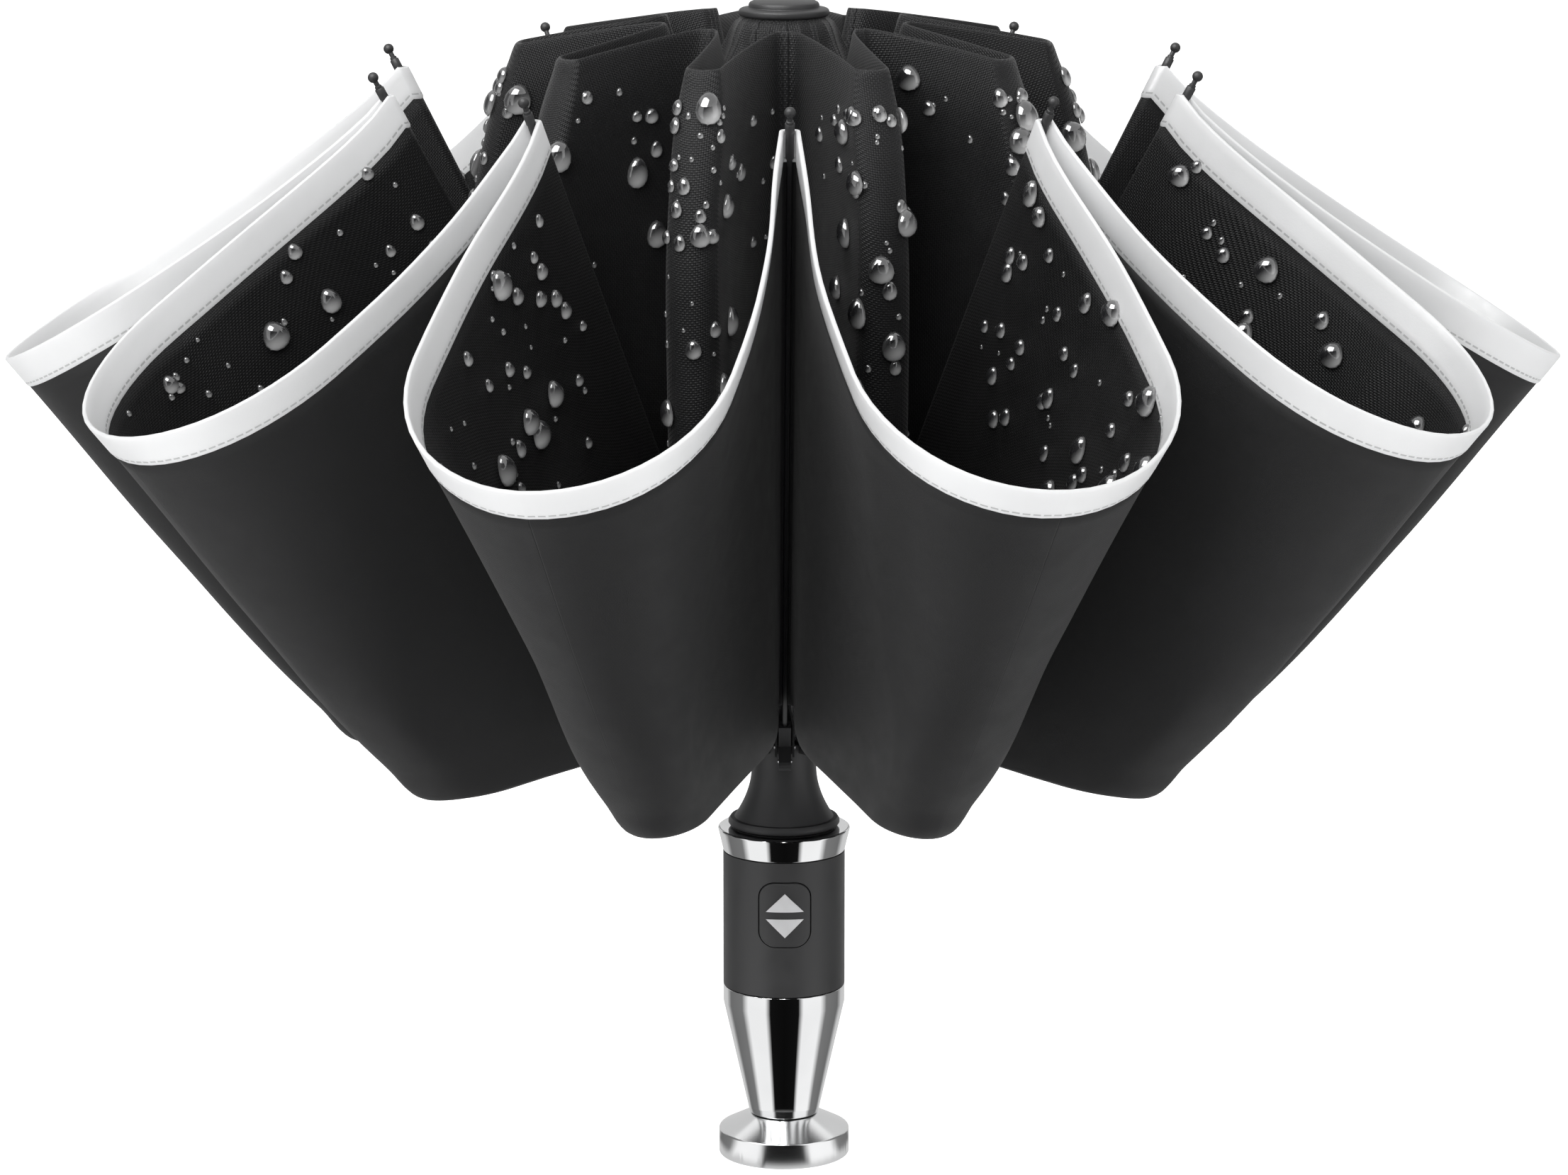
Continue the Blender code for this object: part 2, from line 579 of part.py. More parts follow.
def channel_section(height, depth, width):
    """The eight corners of an outward-facing channel at a height, in the rib's own plane."""
    web = channel_radius(height)
    lip = web + depth
    half = width / 2
    inner_half = half - CHANNEL_WALL
    floor = web + CHANNEL_WALL
    corners = [(web, -half), (lip, -half), (lip, -inner_half), (floor, -inner_half),
               (floor, inner_half), (lip, inner_half), (lip, half), (web, half)]
    return [(x, y, height) for x, y in corners]


def middle_rib_mesh():
    jaw_top = CHANNEL_FOOT_HEIGHT + CHANNEL_JAW_HEIGHT
    sections = [channel_section(CHANNEL_FOOT_HEIGHT, JAW_DEPTH, JAW_WIDTH),
                channel_section(jaw_top, JAW_DEPTH, JAW_WIDTH),
                channel_section(jaw_top + CHANNEL_TAPER_HEIGHT, CHANNEL_DEPTH, CHANNEL_WIDTH),
                channel_section(CHANNEL_TOP_HEIGHT, CHANNEL_DEPTH, CHANNEL_WIDTH)]
    bm = bmesh.new()
    rings = [[bm.verts.new(corner) for corner in section] for section in sections]
    for lower, upper in zip(rings, rings[1:]):
        for place in range(len(lower)):
            after = (place + 1) % len(lower)
            bm.faces.new((lower[place], lower[after], upper[after], upper[place]))
    bm.faces.new(rings[0])
    bm.faces.new(rings[-1])
    hole = PIN_DIAMETER / 2 + PIN_GAP
    reach = JAW_WIDTH / 2 + CUT_OVERRUN
    bore = rod_mesh("pin_bore", hole, (PIVOT_RADIUS, -reach, PIVOT_HEIGHT),
                    (PIVOT_RADIUS, reach, PIVOT_HEIGHT), PIN_SIDES)
    return finished_mesh("middle_rib", mesh_from(bm, "channel"), [("DIFFERENCE", bore)])


def lever_mesh():
    """The bent lever about its pin: an arm along the outer rib and a tail with an eye."""
    half = LEVER_THICKNESS / 2
    along = Vector((math.sin(RIB_SPLAY), math.cos(RIB_SPLAY)))
    across = Vector((along.y, -along.x))
    tail = Vector((LEVER_TAIL_OUT, -LEVER_TAIL_DROP))
    tail_way = tail.normalized()
    tail_up = Vector((-tail_way.y, tail_way.x))
    eye = EYE_DIAMETER / 2
    arm_end = along * LEVER_ARM
    bend = (across + tail_up) * half / (1 + across.dot(tail_up))
    eye_arc = []
    for step in range(EYE_STEPS + 1):
        angle = math.pi / 2 - step / EYE_STEPS * math.pi
        eye_arc.append(tail + tail_way * (eye * math.cos(angle)) + tail_up * (eye * math.sin(angle)))
    outline = [arm_end - across * half, arm_end + across * half, bend, *eye_arc, -bend]
    body = prism_mesh("lever", [tuple(point) for point in outline], LEVER_WIDTH / 2)
    reach = LEVER_WIDTH / 2 + CUT_OVERRUN
    eye_hole = rod_mesh("eye_hole", EYE_HOLE_DIAMETER / 2, (tail.x, -reach, tail.y),
                        (tail.x, reach, tail.y), PIN_SIDES)
    socket_start = along * (LEVER_ARM - SOCKET_DEPTH)
    socket_end = along * (LEVER_ARM + CUT_OVERRUN)
    socket = rod_mesh("socket", WIRE_DIAMETER / 2 + FIT_GAP, (socket_start.x, 0, socket_start.y),
                      (socket_end.x, 0, socket_end.y), PIN_SIDES)
    pin = rod_mesh("pin", PIN_DIAMETER / 2, (0, -JAW_WIDTH / 2, 0), (0, JAW_WIDTH / 2, 0), PIN_SIDES)
    return finished_mesh("rib_joint", body, [("DIFFERENCE", eye_hole), ("DIFFERENCE", socket),
                                             ("UNION", pin)])


def wire_mesh():
    """The outer rib along its own Z, measured from the pin."""
    bottom = LEVER_ARM - SOCKET_DEPTH + FIT_GAP
    top = RIB_LENGTH - BALL_DIAMETER / 2 - TIP_NECK_LENGTH - FERRULE_LENGTH + FERRULE_BORE_DEPTH - FIT_GAP
    return rod_mesh("outer_rib", WIRE_DIAMETER / 2, (0, 0, bottom), (0, 0, top), PIN_SIDES)


def tip_mesh():
    """A ferrule over the end of the wire, a thin neck and a ball."""
    ball = BALL_DIAMETER / 2
    neck = TIP_NECK_DIAMETER / 2
    ferrule_top = RIB_LENGTH - ball - TIP_NECK_LENGTH
    ferrule_bottom = ferrule_top - FERRULE_LENGTH
    bore = WIRE_DIAMETER / 2 + FIT_GAP
    meet = math.asin(neck / ball)
    arc = []
    for step in range(BALL_STEPS + 1):
        angle = step / BALL_STEPS * (math.pi - meet)
        arc.append((ball * math.sin(angle), RIB_LENGTH + ball * math.cos(angle)))
    profile = [*arc, (neck, ferrule_top), (FERRULE_DIAMETER / 2, ferrule_top),
               (FERRULE_DIAMETER / 2, ferrule_bottom), (bore, ferrule_bottom),
               (bore, ferrule_bottom + FERRULE_BORE_DEPTH), (0, ferrule_bottom + FERRULE_BORE_DEPTH)]
    return turned_mesh("tip", profile, PIN_SIDES)


def make_ribs(materials):
    channel = middle_rib_mesh()
    lever = lever_mesh()
    wire = wire_mesh()
    tip = tip_mesh()
    for rib in range(RIBS):
        middle = add_object(f"mid_rib_{rib}", channel, materials["steel"])
        middle.rotation_euler = (0, 0, rib_turn(rib))
        pivot = bpy.data.objects.new(f"rib_pivot_{rib}", None)
        bpy.context.scene.collection.objects.link(pivot)
        pivot.location = rib_direction(rib) * PIVOT_RADIUS + Vector((0, 0, PIVOT_HEIGHT))
        pivot.rotation_euler = (0, 0, rib_turn(rib))
        add_object(f"rib_joint_{rib}", lever, materials["plastic"], pivot)
        for name, mesh, material in (("outer_rib", wire, "steel"), ("tip", tip, "plastic")):
            piece = add_object(f"{name}_{rib}", mesh, materials[material], pivot)
            piece.rotation_euler = (0, RIB_SPLAY, 0)


# Canopy

# One turn of the cloth round the shaft. valley and lobe are (radius, height) at a rib and at
# the middle of a panel. half_width is reached at widest_share of the way from one to the other,
# crease is the half width of the groove at the rib and droop how far its edges hang below the
# rib's place. bulge_share rounds the side of the fold.
Turn = namedtuple("Turn", "valley lobe half_width widest_share crease bulge_share droop", defaults=(0,))


def on_rib(distance):
    """(radius, height) of the cloth beside an outer rib, at a distance from the pin."""
    inside = FERRULE_DIAMETER / 2 + FIT_GAP + TRIM_THICKNESS
    return (PIVOT_RADIUS + distance * math.sin(RIB_SPLAY) - inside * math.cos(RIB_SPLAY),
            PIVOT_HEIGHT + distance * math.cos(RIB_SPLAY) + inside * math.sin(RIB_SPLAY))


def outside_channel(height):
    return (channel_radius(height) + CHANNEL_DEPTH + FIT_GAP + CLOTH, height)


def inside_channel(height):
    return (channel_radius(height) - FIT_GAP - CLOTH, height)


def folded_turn(turn, side_steps, end_steps):
    """Plan of half a folded turn, from the rib's plane along the fold's side and round its end."""
    half = PANEL / 2
    along_rib = Vector((math.cos(half), math.sin(half)))
    off_rib = Vector((math.sin(half), -math.cos(half)))
    start = along_rib * turn.valley[0]
    corner = start + off_rib * turn.crease
    reach = turn.lobe[0] - start.x
    widest = Vector((start.x + reach * turn.widest_share, turn.half_width))
    plan = [start, corner]
    if side_steps > 1:
        plan.append(Vector(((corner.x + widest.x) / 2,
                            corner.y + (widest.y - corner.y) * turn.bulge_share)))
    for step in range(end_steps + 1):
        angle = step / end_steps * math.pi / 2
        plan.append(Vector((widest.x + (turn.lobe[0] - widest.x) * math.sin(angle),
                            widest.y * math.cos(angle))))
    return plan


def smooth_turn(turn, side_steps, end_steps):
    """Plan of half a turn that is nearly round, where the folds have not begun."""
    count = 1 + side_steps + end_steps
    plan = []
    for step in range(count + 1):
        angle = PANEL / 2 * (1 - step / count)
        radius = turn.lobe[0] + (turn.valley[0] - turn.lobe[0]) * (2 * angle / PANEL) ** 2
        plan.append(Vector((radius * math.cos(angle), radius * math.sin(angle))))
    return plan


def round_turn(turn, side_steps, end_steps):
    """All the points of one turn, panel by panel."""
    shape = folded_turn if turn.half_width else smooth_turn
    plan = shape(turn, side_steps, end_steps)
    start, end = plan[1].x, plan[-1].x
    edge = turn.valley[1] - turn.droop
    half = [(*plan[0], turn.valley[1])]
    for x, y in plan[1:]:
        half.append((x, y, edge + (turn.lobe[1] - edge) * (x - start) / (end - start)))
    panel = [(x, -y, z) for x, y, z in half] + list(reversed(half[1:-1]))
    points = []
    for rib in range(RIBS):
        spin = Matrix.Rotation(rib_turn(rib) + PANEL / 2, 4, "Z")
        points.extend(spin @ Vector(point) for point in panel)
    return points


def cloth_sheet(name, turns, material, steps, thickness=CLOTH):
    """A sheet through the turns, thickened to the dry side."""
    bm = bmesh.new()
    rows = [[bm.verts.new(point) for point in round_turn(turn, *steps)] for turn in turns]
    for lower, upper in zip(rows, rows[1:]):
        for place in range(len(lower)):
            after = (place + 1) % len(lower)
            bm.faces.new((lower[place], lower[after], upper[after], upper[place]))
    mesh = bpy.data.meshes.new(name)
    bm.to_mesh(mesh)
    bm.free()
    sheet = add_object(name, mesh, material)
    shell = sheet.modifiers.new("Thickness", "SOLIDIFY")
    shell.thickness = thickness
    shell.offset = 1


def make_petals(materials):
    """The outer skin with the floor of its pockets, and the binding along the rim."""
    edge = RIB_LENGTH - TRIM_SETBACK
    low = (WEDGE_HEIGHT - PIVOT_HEIGHT) / math.cos(RIB_SPLAY)
    way = Vector((RIM_RADIUS - BELLY_RADIUS, RIM_HEIGHT - BELLY_HEIGHT)).normalized()
    rim = Vector((RIM_RADIUS, RIM_HEIGHT))
    seam = rim - way * TRIM_WIDTH
    cloth_end = seam - way * SEAM_GAP
    wall_valley = outside_channel(WEDGE_HEIGHT)[0]
    rim_shape = (RIM_HALF_WIDTH, RIM_WIDEST_SHARE, TRIM_CREASE, RIM_BULGE_SHARE)
    petals = [
        Turn((wall_valley, WEDGE_HEIGHT - SEAM_GAP), (WALL_FOOT_RADIUS, WALL_FOOT_HEIGHT - SEAM_GAP),
             WALL_FOOT_HALF_WIDTH, FOLD_WIDEST_SHARE, FOOT_CREASE, FLAT_BULGE_SHARE),
        Turn(((wall_valley + on_rib(low)[0]) / 2, WEDGE_HEIGHT - WEDGE_DEPTH), (FLOOR_RADIUS, FLOOR_HEIGHT),
             FLOOR_HALF_WIDTH, FLOOR_WIDEST_SHARE, FLOOR_CREASE, POCKET_BULGE_SHARE, FLOOR_DROOP),
        Turn(on_rib(low), (LOW_RADIUS, LOW_HEIGHT), LOW_HALF_WIDTH, LOW_WIDEST_SHARE, PETAL_CREASE,
             POCKET_BULGE_SHARE),
        Turn(on_rib(low + (edge - low) * BELLY_RIB_SHARE), (BELLY_RADIUS, BELLY_HEIGHT),
             BELLY_HALF_WIDTH, BELLY_WIDEST_SHARE, PETAL_CREASE, BELLY_BULGE_SHARE),
        Turn(on_rib(edge - TRIM_WIDTH - SEAM_GAP), tuple(cloth_end), *rim_shape),
    ]
    cloth_sheet("canopy_petals", petals, materials["dry_cloth"], FINE_STEPS)
    binding = [Turn(on_rib(edge - TRIM_WIDTH), tuple(seam), *rim_shape),
               Turn(on_rib(edge), tuple(rim), *rim_shape)]
    cloth_sheet("edge_trim", binding, materials["trim"], FINE_STEPS, TRIM_THICKNESS)


def make_folds(materials):
    """The wall round the shaft, and the cone and inner layer that the cap holds down."""
    outer_valley = outside_channel(CHANNEL_TOP_HEIGHT)
    inner_valley = inside_channel(CHANNEL_TOP_HEIGHT)
    top_valley = ((outer_valley[0] + inner_valley[0]) / 2, CHANNEL_TOP_HEIGHT + RIDGE_VALLEY_RISE)
    outer_shape = (RIDGE_HALF_WIDTH, FOLD_WIDEST_SHARE, FOLD_CREASE, FLAT_BULGE_SHARE)
    cloth_sheet("canopy_wall", [
        Turn(outside_channel(CHANNEL_TOP_HEIGHT - SEAM_GAP),
             (RIDGE_OUTER_RADIUS, RIDGE_OUTER_HEIGHT - SEAM_GAP), *outer_shape),
        Turn(outside_channel(WALL_MIDDLE_HEIGHT), (WALL_MIDDLE_RADIUS, WALL_MIDDLE_HEIGHT),
             WALL_MIDDLE_HALF_WIDTH, FOLD_WIDEST_SHARE, FOLD_CREASE, FLAT_BULGE_SHARE),
        Turn(outside_channel(WEDGE_HEIGHT), (WALL_FOOT_RADIUS, WALL_FOOT_HEIGHT),
             WALL_FOOT_HALF_WIDTH, FOLD_WIDEST_SHARE, FOOT_CREASE, FLAT_BULGE_SHARE),
    ], materials["wet_cloth"], FINE_STEPS)

    def level(valley_radius, lobe_radius, height):
        return Turn((valley_radius, height), (lobe_radius, height), None, None, None, None)

    hole = CAP_STEM_DIAMETER / 2 + FIT_GAP
    collar = CAP_DIAMETER / 2 - CAP_EDGE
    cloth_sheet("canopy_crown", [
        level(hole, hole + WELD_DISTANCE, CROWN_CLOTH_HEIGHT),
        level(collar, collar + WELD_DISTANCE, CROWN_CLOTH_HEIGHT),
        level(CONE_TOP_RADIUS, CONE_TOP_RADIUS + CLOTH, CROWN_CLOTH_HEIGHT - CONE_TOP_DROP),
        Turn((GAP_VALLEY_RADIUS, GAP_HEIGHT), (GAP_LOBE_RADIUS, GAP_HEIGHT), GAP_HALF_WIDTH,
             GAP_WIDEST_SHARE, GAP_CREASE, FLAT_BULGE_SHARE),
        Turn(inner_valley, (RIDGE_INSIDE_RADIUS, RIDGE_INSIDE_HEIGHT), RIDGE_INSIDE_HALF_WIDTH,
             FOLD_WIDEST_SHARE, RIDGE_INSIDE_CREASE, FLAT_BULGE_SHARE),
        Turn(top_valley, (RIDGE_TOP_RADIUS, RIDGE_TOP_HEIGHT), RIDGE_TOP_HALF_WIDTH,
             FOLD_WIDEST_SHARE, RIDGE_TOP_CREASE, FLAT_BULGE_SHARE),
        Turn(outer_valley, (RIDGE_OUTER_RADIUS, RIDGE_OUTER_HEIGHT), *outer_shape),
    ], materials["wet_cloth"], COARSE_STEPS)


def clear_scene():
    for obj in list(bpy.data.objects):
        bpy.data.objects.remove(obj, do_unlink=True)


def main():
    clear_scene()
    materials = make_materials()
    make_pommel(materials)
    make_lower_handle(materials)
    make_grip(materials)
    make_collar(materials)
    make_button(materials)
    make_button_spring(materials)
    make_shaft(materials)
    make_runner(materials)
    make_top(materials)
    make_inner_ribs(materials)
    make_ribs(materials)
    make_petals(materials)
    make_folds(materials)


main()
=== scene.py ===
"""Compact inverted umbrella with its canopy folded up: cloth, chrome, fittings and studio.

Every piece sits around the fixed frame, in metres: Z runs along the shaft from the flat of the
pommel and the button faces -Y. Rib 0 is at -Y, and the others follow it anticlockwise.
Tables of sizes are in millimetres.
"""

import math
import random
from collections import namedtuple

import bmesh
import bpy
import numpy as np
from mathutils import Matrix, Vector, noise
from mathutils.geometry import interpolate_bezier


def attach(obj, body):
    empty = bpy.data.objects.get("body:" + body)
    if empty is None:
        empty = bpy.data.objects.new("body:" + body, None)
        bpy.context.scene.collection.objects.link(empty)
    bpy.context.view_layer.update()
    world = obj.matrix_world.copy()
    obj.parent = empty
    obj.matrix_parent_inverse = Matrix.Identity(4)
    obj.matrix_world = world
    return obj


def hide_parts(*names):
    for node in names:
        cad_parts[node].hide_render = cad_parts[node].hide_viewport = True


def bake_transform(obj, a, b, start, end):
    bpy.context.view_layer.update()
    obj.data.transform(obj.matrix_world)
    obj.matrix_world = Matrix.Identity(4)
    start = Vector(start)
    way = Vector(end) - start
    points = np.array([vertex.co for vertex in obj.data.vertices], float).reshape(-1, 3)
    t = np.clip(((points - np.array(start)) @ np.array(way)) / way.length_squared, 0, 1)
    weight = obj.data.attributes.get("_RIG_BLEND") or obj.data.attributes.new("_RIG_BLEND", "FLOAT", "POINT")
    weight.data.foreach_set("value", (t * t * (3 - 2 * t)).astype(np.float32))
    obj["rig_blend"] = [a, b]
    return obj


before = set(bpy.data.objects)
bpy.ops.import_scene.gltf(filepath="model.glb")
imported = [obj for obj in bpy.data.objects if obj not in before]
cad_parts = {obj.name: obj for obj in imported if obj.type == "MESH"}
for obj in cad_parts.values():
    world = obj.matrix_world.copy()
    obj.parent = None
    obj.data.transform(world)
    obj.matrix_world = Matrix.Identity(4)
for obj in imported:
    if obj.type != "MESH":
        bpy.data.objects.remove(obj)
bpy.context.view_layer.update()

bl_info = {
    "name": "Inverted Umbrella Finish",
    "version": (1, 0, 0),
    "blender": (4, 5, 0),
    "location": "View3D > Sidebar > Umbrella",
    "description": "Cloth, chrome and fittings of a compact inverted umbrella, and its studio",
    "category": "Object",
}

MM = 0.001
RIBS = 10
PANEL = 2 * math.pi / RIBS

# Where the ribs turn and where they end
PIVOT_RADIUS = 15.0
PIVOT_HEIGHT = 135.5
TIP_RADIUS = 127.0
TIP_HEIGHT = 343.0
RIB_SPLAY = math.atan2(TIP_RADIUS - PIVOT_RADIUS, TIP_HEIGHT - PIVOT_HEIGHT)
RIB_LENGTH = math.hypot(TIP_RADIUS - PIVOT_RADIUS, TIP_HEIGHT - PIVOT_HEIGHT)
CLOTH_INSIDE_RIB = 2.6
BALL_RADIUS = 1.6
NECK_RADIUS = 0.75
NECK_LENGTH = 2.0
FERRULE_RADIUS = 1.4
FERRULE_LENGTH = 12.0

# One turn of the cloth round the shaft. valley and lobe are (radius, height) at a rib and in
# the middle of a panel. half_width is reached at widest_share of the way from one to the
# other. crease is the radius of the groove at the rib, and opened is the share of that groove
# that is rolled out flat. pulls shape the side between the groove and the widest place, and rise
# is the power by which the height goes from valley to lobe. steps is the number of rows of faces
# up to the next turn.
Turn = namedtuple("Turn", "valley lobe half_width widest_share crease opened pulls rise steps")

GROOVE_COLUMNS = 4
SIDE_COLUMNS = 14
END_COLUMNS = 14
COLUMNS = GROOVE_COLUMNS + SIDE_COLUMNS + END_COLUMNS
LAST_COLUMN_ANGLE = math.radians(89.5)


def on_rib(distance):
    """(radius, height) of the cloth beside an outer rib, at a distance from its pin."""
    return (PIVOT_RADIUS + distance * math.sin(RIB_SPLAY) - CLOTH_INSIDE_RIB * math.cos(RIB_SPLAY),
            PIVOT_HEIGHT + distance * math.cos(RIB_SPLAY) + CLOTH_INSIDE_RIB * math.sin(RIB_SPLAY))


def level_turn(valley, lobe, steps):
    """A turn that goes round the cone, with a pleat in the middle of each panel."""
    return Turn(valley, lobe, None, None, None, None, None, None, steps)


# From the cap out and down the cone, up and over the ridge, down the wall, and out to the rim
SKIN_PULLS = (0.45, 0.69)
RIM_PULLS = (0.34, 0.62)
TURNS = [
    level_turn((5.0, 356.7), (5.0, 356.7), 2),
    level_turn((13.0, 356.6), (13.3, 356.6), 5),
    level_turn((17.3, 347.2), (19.2, 347.2), 7),
    Turn((27.5, 324.0), (44.0, 323.0), 3.6, 0.60, 5.0, 0.5, (0.3, 0.4), 1.0, 8),
    Turn((34.4, 348.0), (76.0, 343.0), 3.8, 0.92, 5.0, 0.5, (0.15, 0.2), 1.1, 6),
    Turn((37.6, 356.2), (80.0, 349.2), 5.0, 0.94, 6.9, 0.8, (0.1, 0.15), 1.12, 6),
    Turn((39.1, 348.5), (82.8, 343.0), 6.2, 0.92, 6.9, 0.8, (0.1, 0.15), 1.12, 10),
    Turn((34.3, 306.0), (93.0, 306.0), 7.5, 0.91, 6.0, 0.8, (0.15, 0.2), 1.0, 8),
    Turn((28.0, 250.0), (93.5, 250.0), 8.0, 0.90, 6.0, 0.8, (0.15, 0.2), 1.0, 14),
    Turn((17.3, 154.0), (95.0, 157.0), 6.8, 0.88, 4.0, 0.6, (0.2, 0.3), 1.0, 8),
    Turn((19.6, 150.4), (132.0, 135.5), 11.8, 0.825, 3.0, 0.0, SKIN_PULLS, 0.8, 8),
    Turn(on_rib(20.0), (142.0, 145.3), 13.4, 0.87, 2.6, 0.0, SKIN_PULLS, 0.8, 16),
    Turn(on_rib(122.0), (188.0, 196.3), 25.3, 0.74, 2.6, 0.05, SKIN_PULLS, 0.82, 15),
    Turn(on_rib(RIB_LENGTH - 17.5), (228.6, 246.9), 42.6, 0.65, 2.6, 0.13, RIM_PULLS, 0.85, 4),
    Turn(on_rib(RIB_LENGTH - 8.0), (234.7, 254.3), 45.2, 0.64, 2.6, 0.13, RIM_PULLS, 0.85, 0),
]

# Turns with a name: the gap between cone and ridge, the top and the foot of the wall, the low end
# of the petals' free part, the seam of the binding and the rim
GAP_TURN = 3
WALL_TOP_TURN = 6
FOOT_TURN = 9
LOW_TURN = 11
SEAM_TURN = 13
RIM_TURN = 14

# How freely the cloth ripples at a turn, from 0 where it is held to 1. Ripples grow up to some way
# off a rib. They have a length across the cloth, a number per turn, and noise that each panel
# takes from another place.
RIPPLE_SHARES = ((0, 0.0), (GAP_TURN, 0.3), (5, 0.15), (7.5, 0.5), (FOOT_TURN, 0.6), (LOW_TURN, 0.9),
                 (12, 1.0), (SEAM_TURN, 0.5), (RIM_TURN, 0.4))
RIPPLE_FREE_FROM = 12 * MM
RIPPLE_LENGTH = 26 * MM
RIPPLES_PER_TURN = 0.55
PANEL_NOISE_STEP = 7.3

# How sharply the cone's pleat turns out to its edge in the middle of a panel
PLEAT_POWER = 4

# Points closer than this are one, in turned parts and where panels of cloth meet
TURNED_MERGE = 0.002 * MM
CLOTH_MERGE = 0.004 * MM

# The binding runs over the cloth by its overlap, and its free edges are thinner than its fold
BINDING_OVERLAP = 0.8 * MM
BINDING_EDGE_SHARE = 0.45
FOLD_ANGLES = (60, 20, -20, -60)


class UmbrellaCloth(bpy.types.PropertyGroup):
    """Sizes and colours of the cloth."""
    thickness: bpy.props.FloatProperty(
        name="Thickness", description="Thickness of the cloth", default=0.5 * MM,
        min=0.1 * MM, max=2 * MM, unit="LENGTH")
    binding_thickness: bpy.props.FloatProperty(
        name="Binding thickness", description="Thickness of the folded binding on the rim",
        default=1.3 * MM, min=0.5 * MM, max=3 * MM, unit="LENGTH")
    ripple: bpy.props.FloatProperty(
        name="Ripple", description="Depth of the soft folds in the free cloth", default=0.6 * MM,
        min=0, max=5 * MM, unit="LENGTH")
    thread_pitch: bpy.props.FloatProperty(
        name="Thread pitch", description="Distance from thread to thread inside the canopy",
        default=0.7 * MM, min=0.1 * MM, max=3 * MM, unit="LENGTH")
    dry_color: bpy.props.FloatVectorProperty(
        name="Dry side", description="Colour of the cloth outside the petals",
        default=(0.017, 0.017, 0.0175), subtype="COLOR", size=3, min=0, max=1)
    wet_color: bpy.props.FloatVectorProperty(
        name="Wet side", description="Colour of the cloth inside the petals",
        default=(0.0045, 0.0045, 0.0048), subtype="COLOR", size=3, min=0, max=1)
    binding_color: bpy.props.FloatVectorProperty(
        name="Binding", description="Colour of the reflective binding",
        default=(0.93, 0.935, 0.94), subtype="COLOR", size=3, min=0, max=1)
    drops: bpy.props.IntProperty(
        name="Drops", description="Rain drops on each panel", default=230, min=0, max=400)
    drop_size: bpy.props.FloatProperty(
        name="Drop size", description="Width of the largest rain drops", default=8.5 * MM,
        min=1 * MM, max=15 * MM, unit="LENGTH")


class UmbrellaHandle(bpy.types.PropertyGroup):
    """Sizes and colours of the handle and fittings."""
    edge_round: bpy.props.FloatProperty(
        name="Edge round", description="Width of the rounded edges on the handle",
        default=0.35 * MM, min=0.05 * MM, max=2 * MM, unit="LENGTH")
    chrome_color: bpy.props.FloatVectorProperty(
        name="Chrome", description="Colour of the chrome plating", default=(0.88, 0.885, 0.89),
        subtype="COLOR", size=3, min=0, max=1)
    grip_color: bpy.props.FloatVectorProperty(
        name="Grip", description="Colour of the rubber grip", default=(0.036, 0.036, 0.037),
        subtype="COLOR", size=3, min=0, max=1)
    plastic_color: bpy.props.FloatVectorProperty(
        name="Plastic", description="Colour of the black plastic", default=(0.026, 0.026, 0.027),
        subtype="COLOR", size=3, min=0, max=1)
    steel_color: bpy.props.FloatVectorProperty(
        name="Ribs", description="Colour of the painted steel ribs", default=(0.020, 0.020, 0.021),
        subtype="COLOR", size=3, min=0, max=1)
    arrow_color: bpy.props.FloatVectorProperty(
        name="Arrows", description="Colour of the two arrows on the button",
        default=(0.72, 0.72, 0.73), subtype="COLOR", size=3, min=0, max=1)


class UmbrellaStudio(bpy.types.PropertyGroup):
    """Camera, lamps and floor."""
    camera_distance: bpy.props.FloatProperty(
        name="Camera distance", description="Distance from the shaft to the camera, level",
        default=1.635, min=0.5, max=5, unit="LENGTH")
    camera_turn: bpy.props.FloatProperty(
        name="Camera turn", description="How far the camera is turned round the shaft",
        default=math.radians(0.75), min=-math.pi, max=math.pi, unit="ROTATION")
    camera_height: bpy.props.FloatProperty(
        name="Camera height", description="Height of the camera above the floor", default=0.523,
        min=0, max=3, unit="LENGTH")
    aim_height: bpy.props.FloatProperty(
        name="Aim height", description="Height on the shaft that the camera looks at",
        default=0.182, min=0, max=1, unit="LENGTH")
    lens: bpy.props.FloatProperty(
        name="Lens", description="Focal length on a 36 mm sensor", default=125.3, min=20, max=300)
    key_power: bpy.props.FloatProperty(
        name="Key power", description="Power of the large soft lamp", default=18.0, min=0,
        max=200, unit="POWER")
    side_power: bpy.props.FloatProperty(
        name="Side power", description="Power of each side lamp", default=7.5, min=0, max=200,
        unit="POWER")
    top_power: bpy.props.FloatProperty(
        name="Top power", description="Power of the lamp above the cap", default=10.0, min=0, max=200,
        unit="POWER")
    glint: bpy.props.FloatProperty(
        name="Glint", description="Brightness of the window that the drops mirror", default=9.0,
        min=0, max=50)
    ambient: bpy.props.FloatProperty(
        name="Ambient", description="Strength of the even light from all round", default=0.36,
        min=0, max=2)
    floor_color: bpy.props.FloatVectorProperty(
        name="Floor", description="Colour of the floor", default=(0.92, 0.92, 0.92),
        subtype="COLOR", size=3, min=0, max=1)


# Materials by the names that the makers of the pieces use, and the node groups in them
GROUPS = {}
FINISHES = {}

# The sewn seam over each rib, raised and with a painted highlight along it, and the stitches of the binding
SEAM_FLAT = 0.5 * MM
SEAM_HALF_WIDTH = 1.1 * MM
STITCH_PITCH = 2.8 * MM
STITCH_FROM_EDGE = 1.6 * MM
STITCH_HALF_WIDTH = 0.28 * MM


# Node tools

def feed(tree, node, inputs):
    """Give each named input of a node its value, or a link where that is a socket."""
    for name, value in inputs.items():
        socket = node.inputs[name]
        if isinstance(value, bpy.types.NodeSocket):
            tree.links.new(value, socket)
        else:
            socket.default_value = value


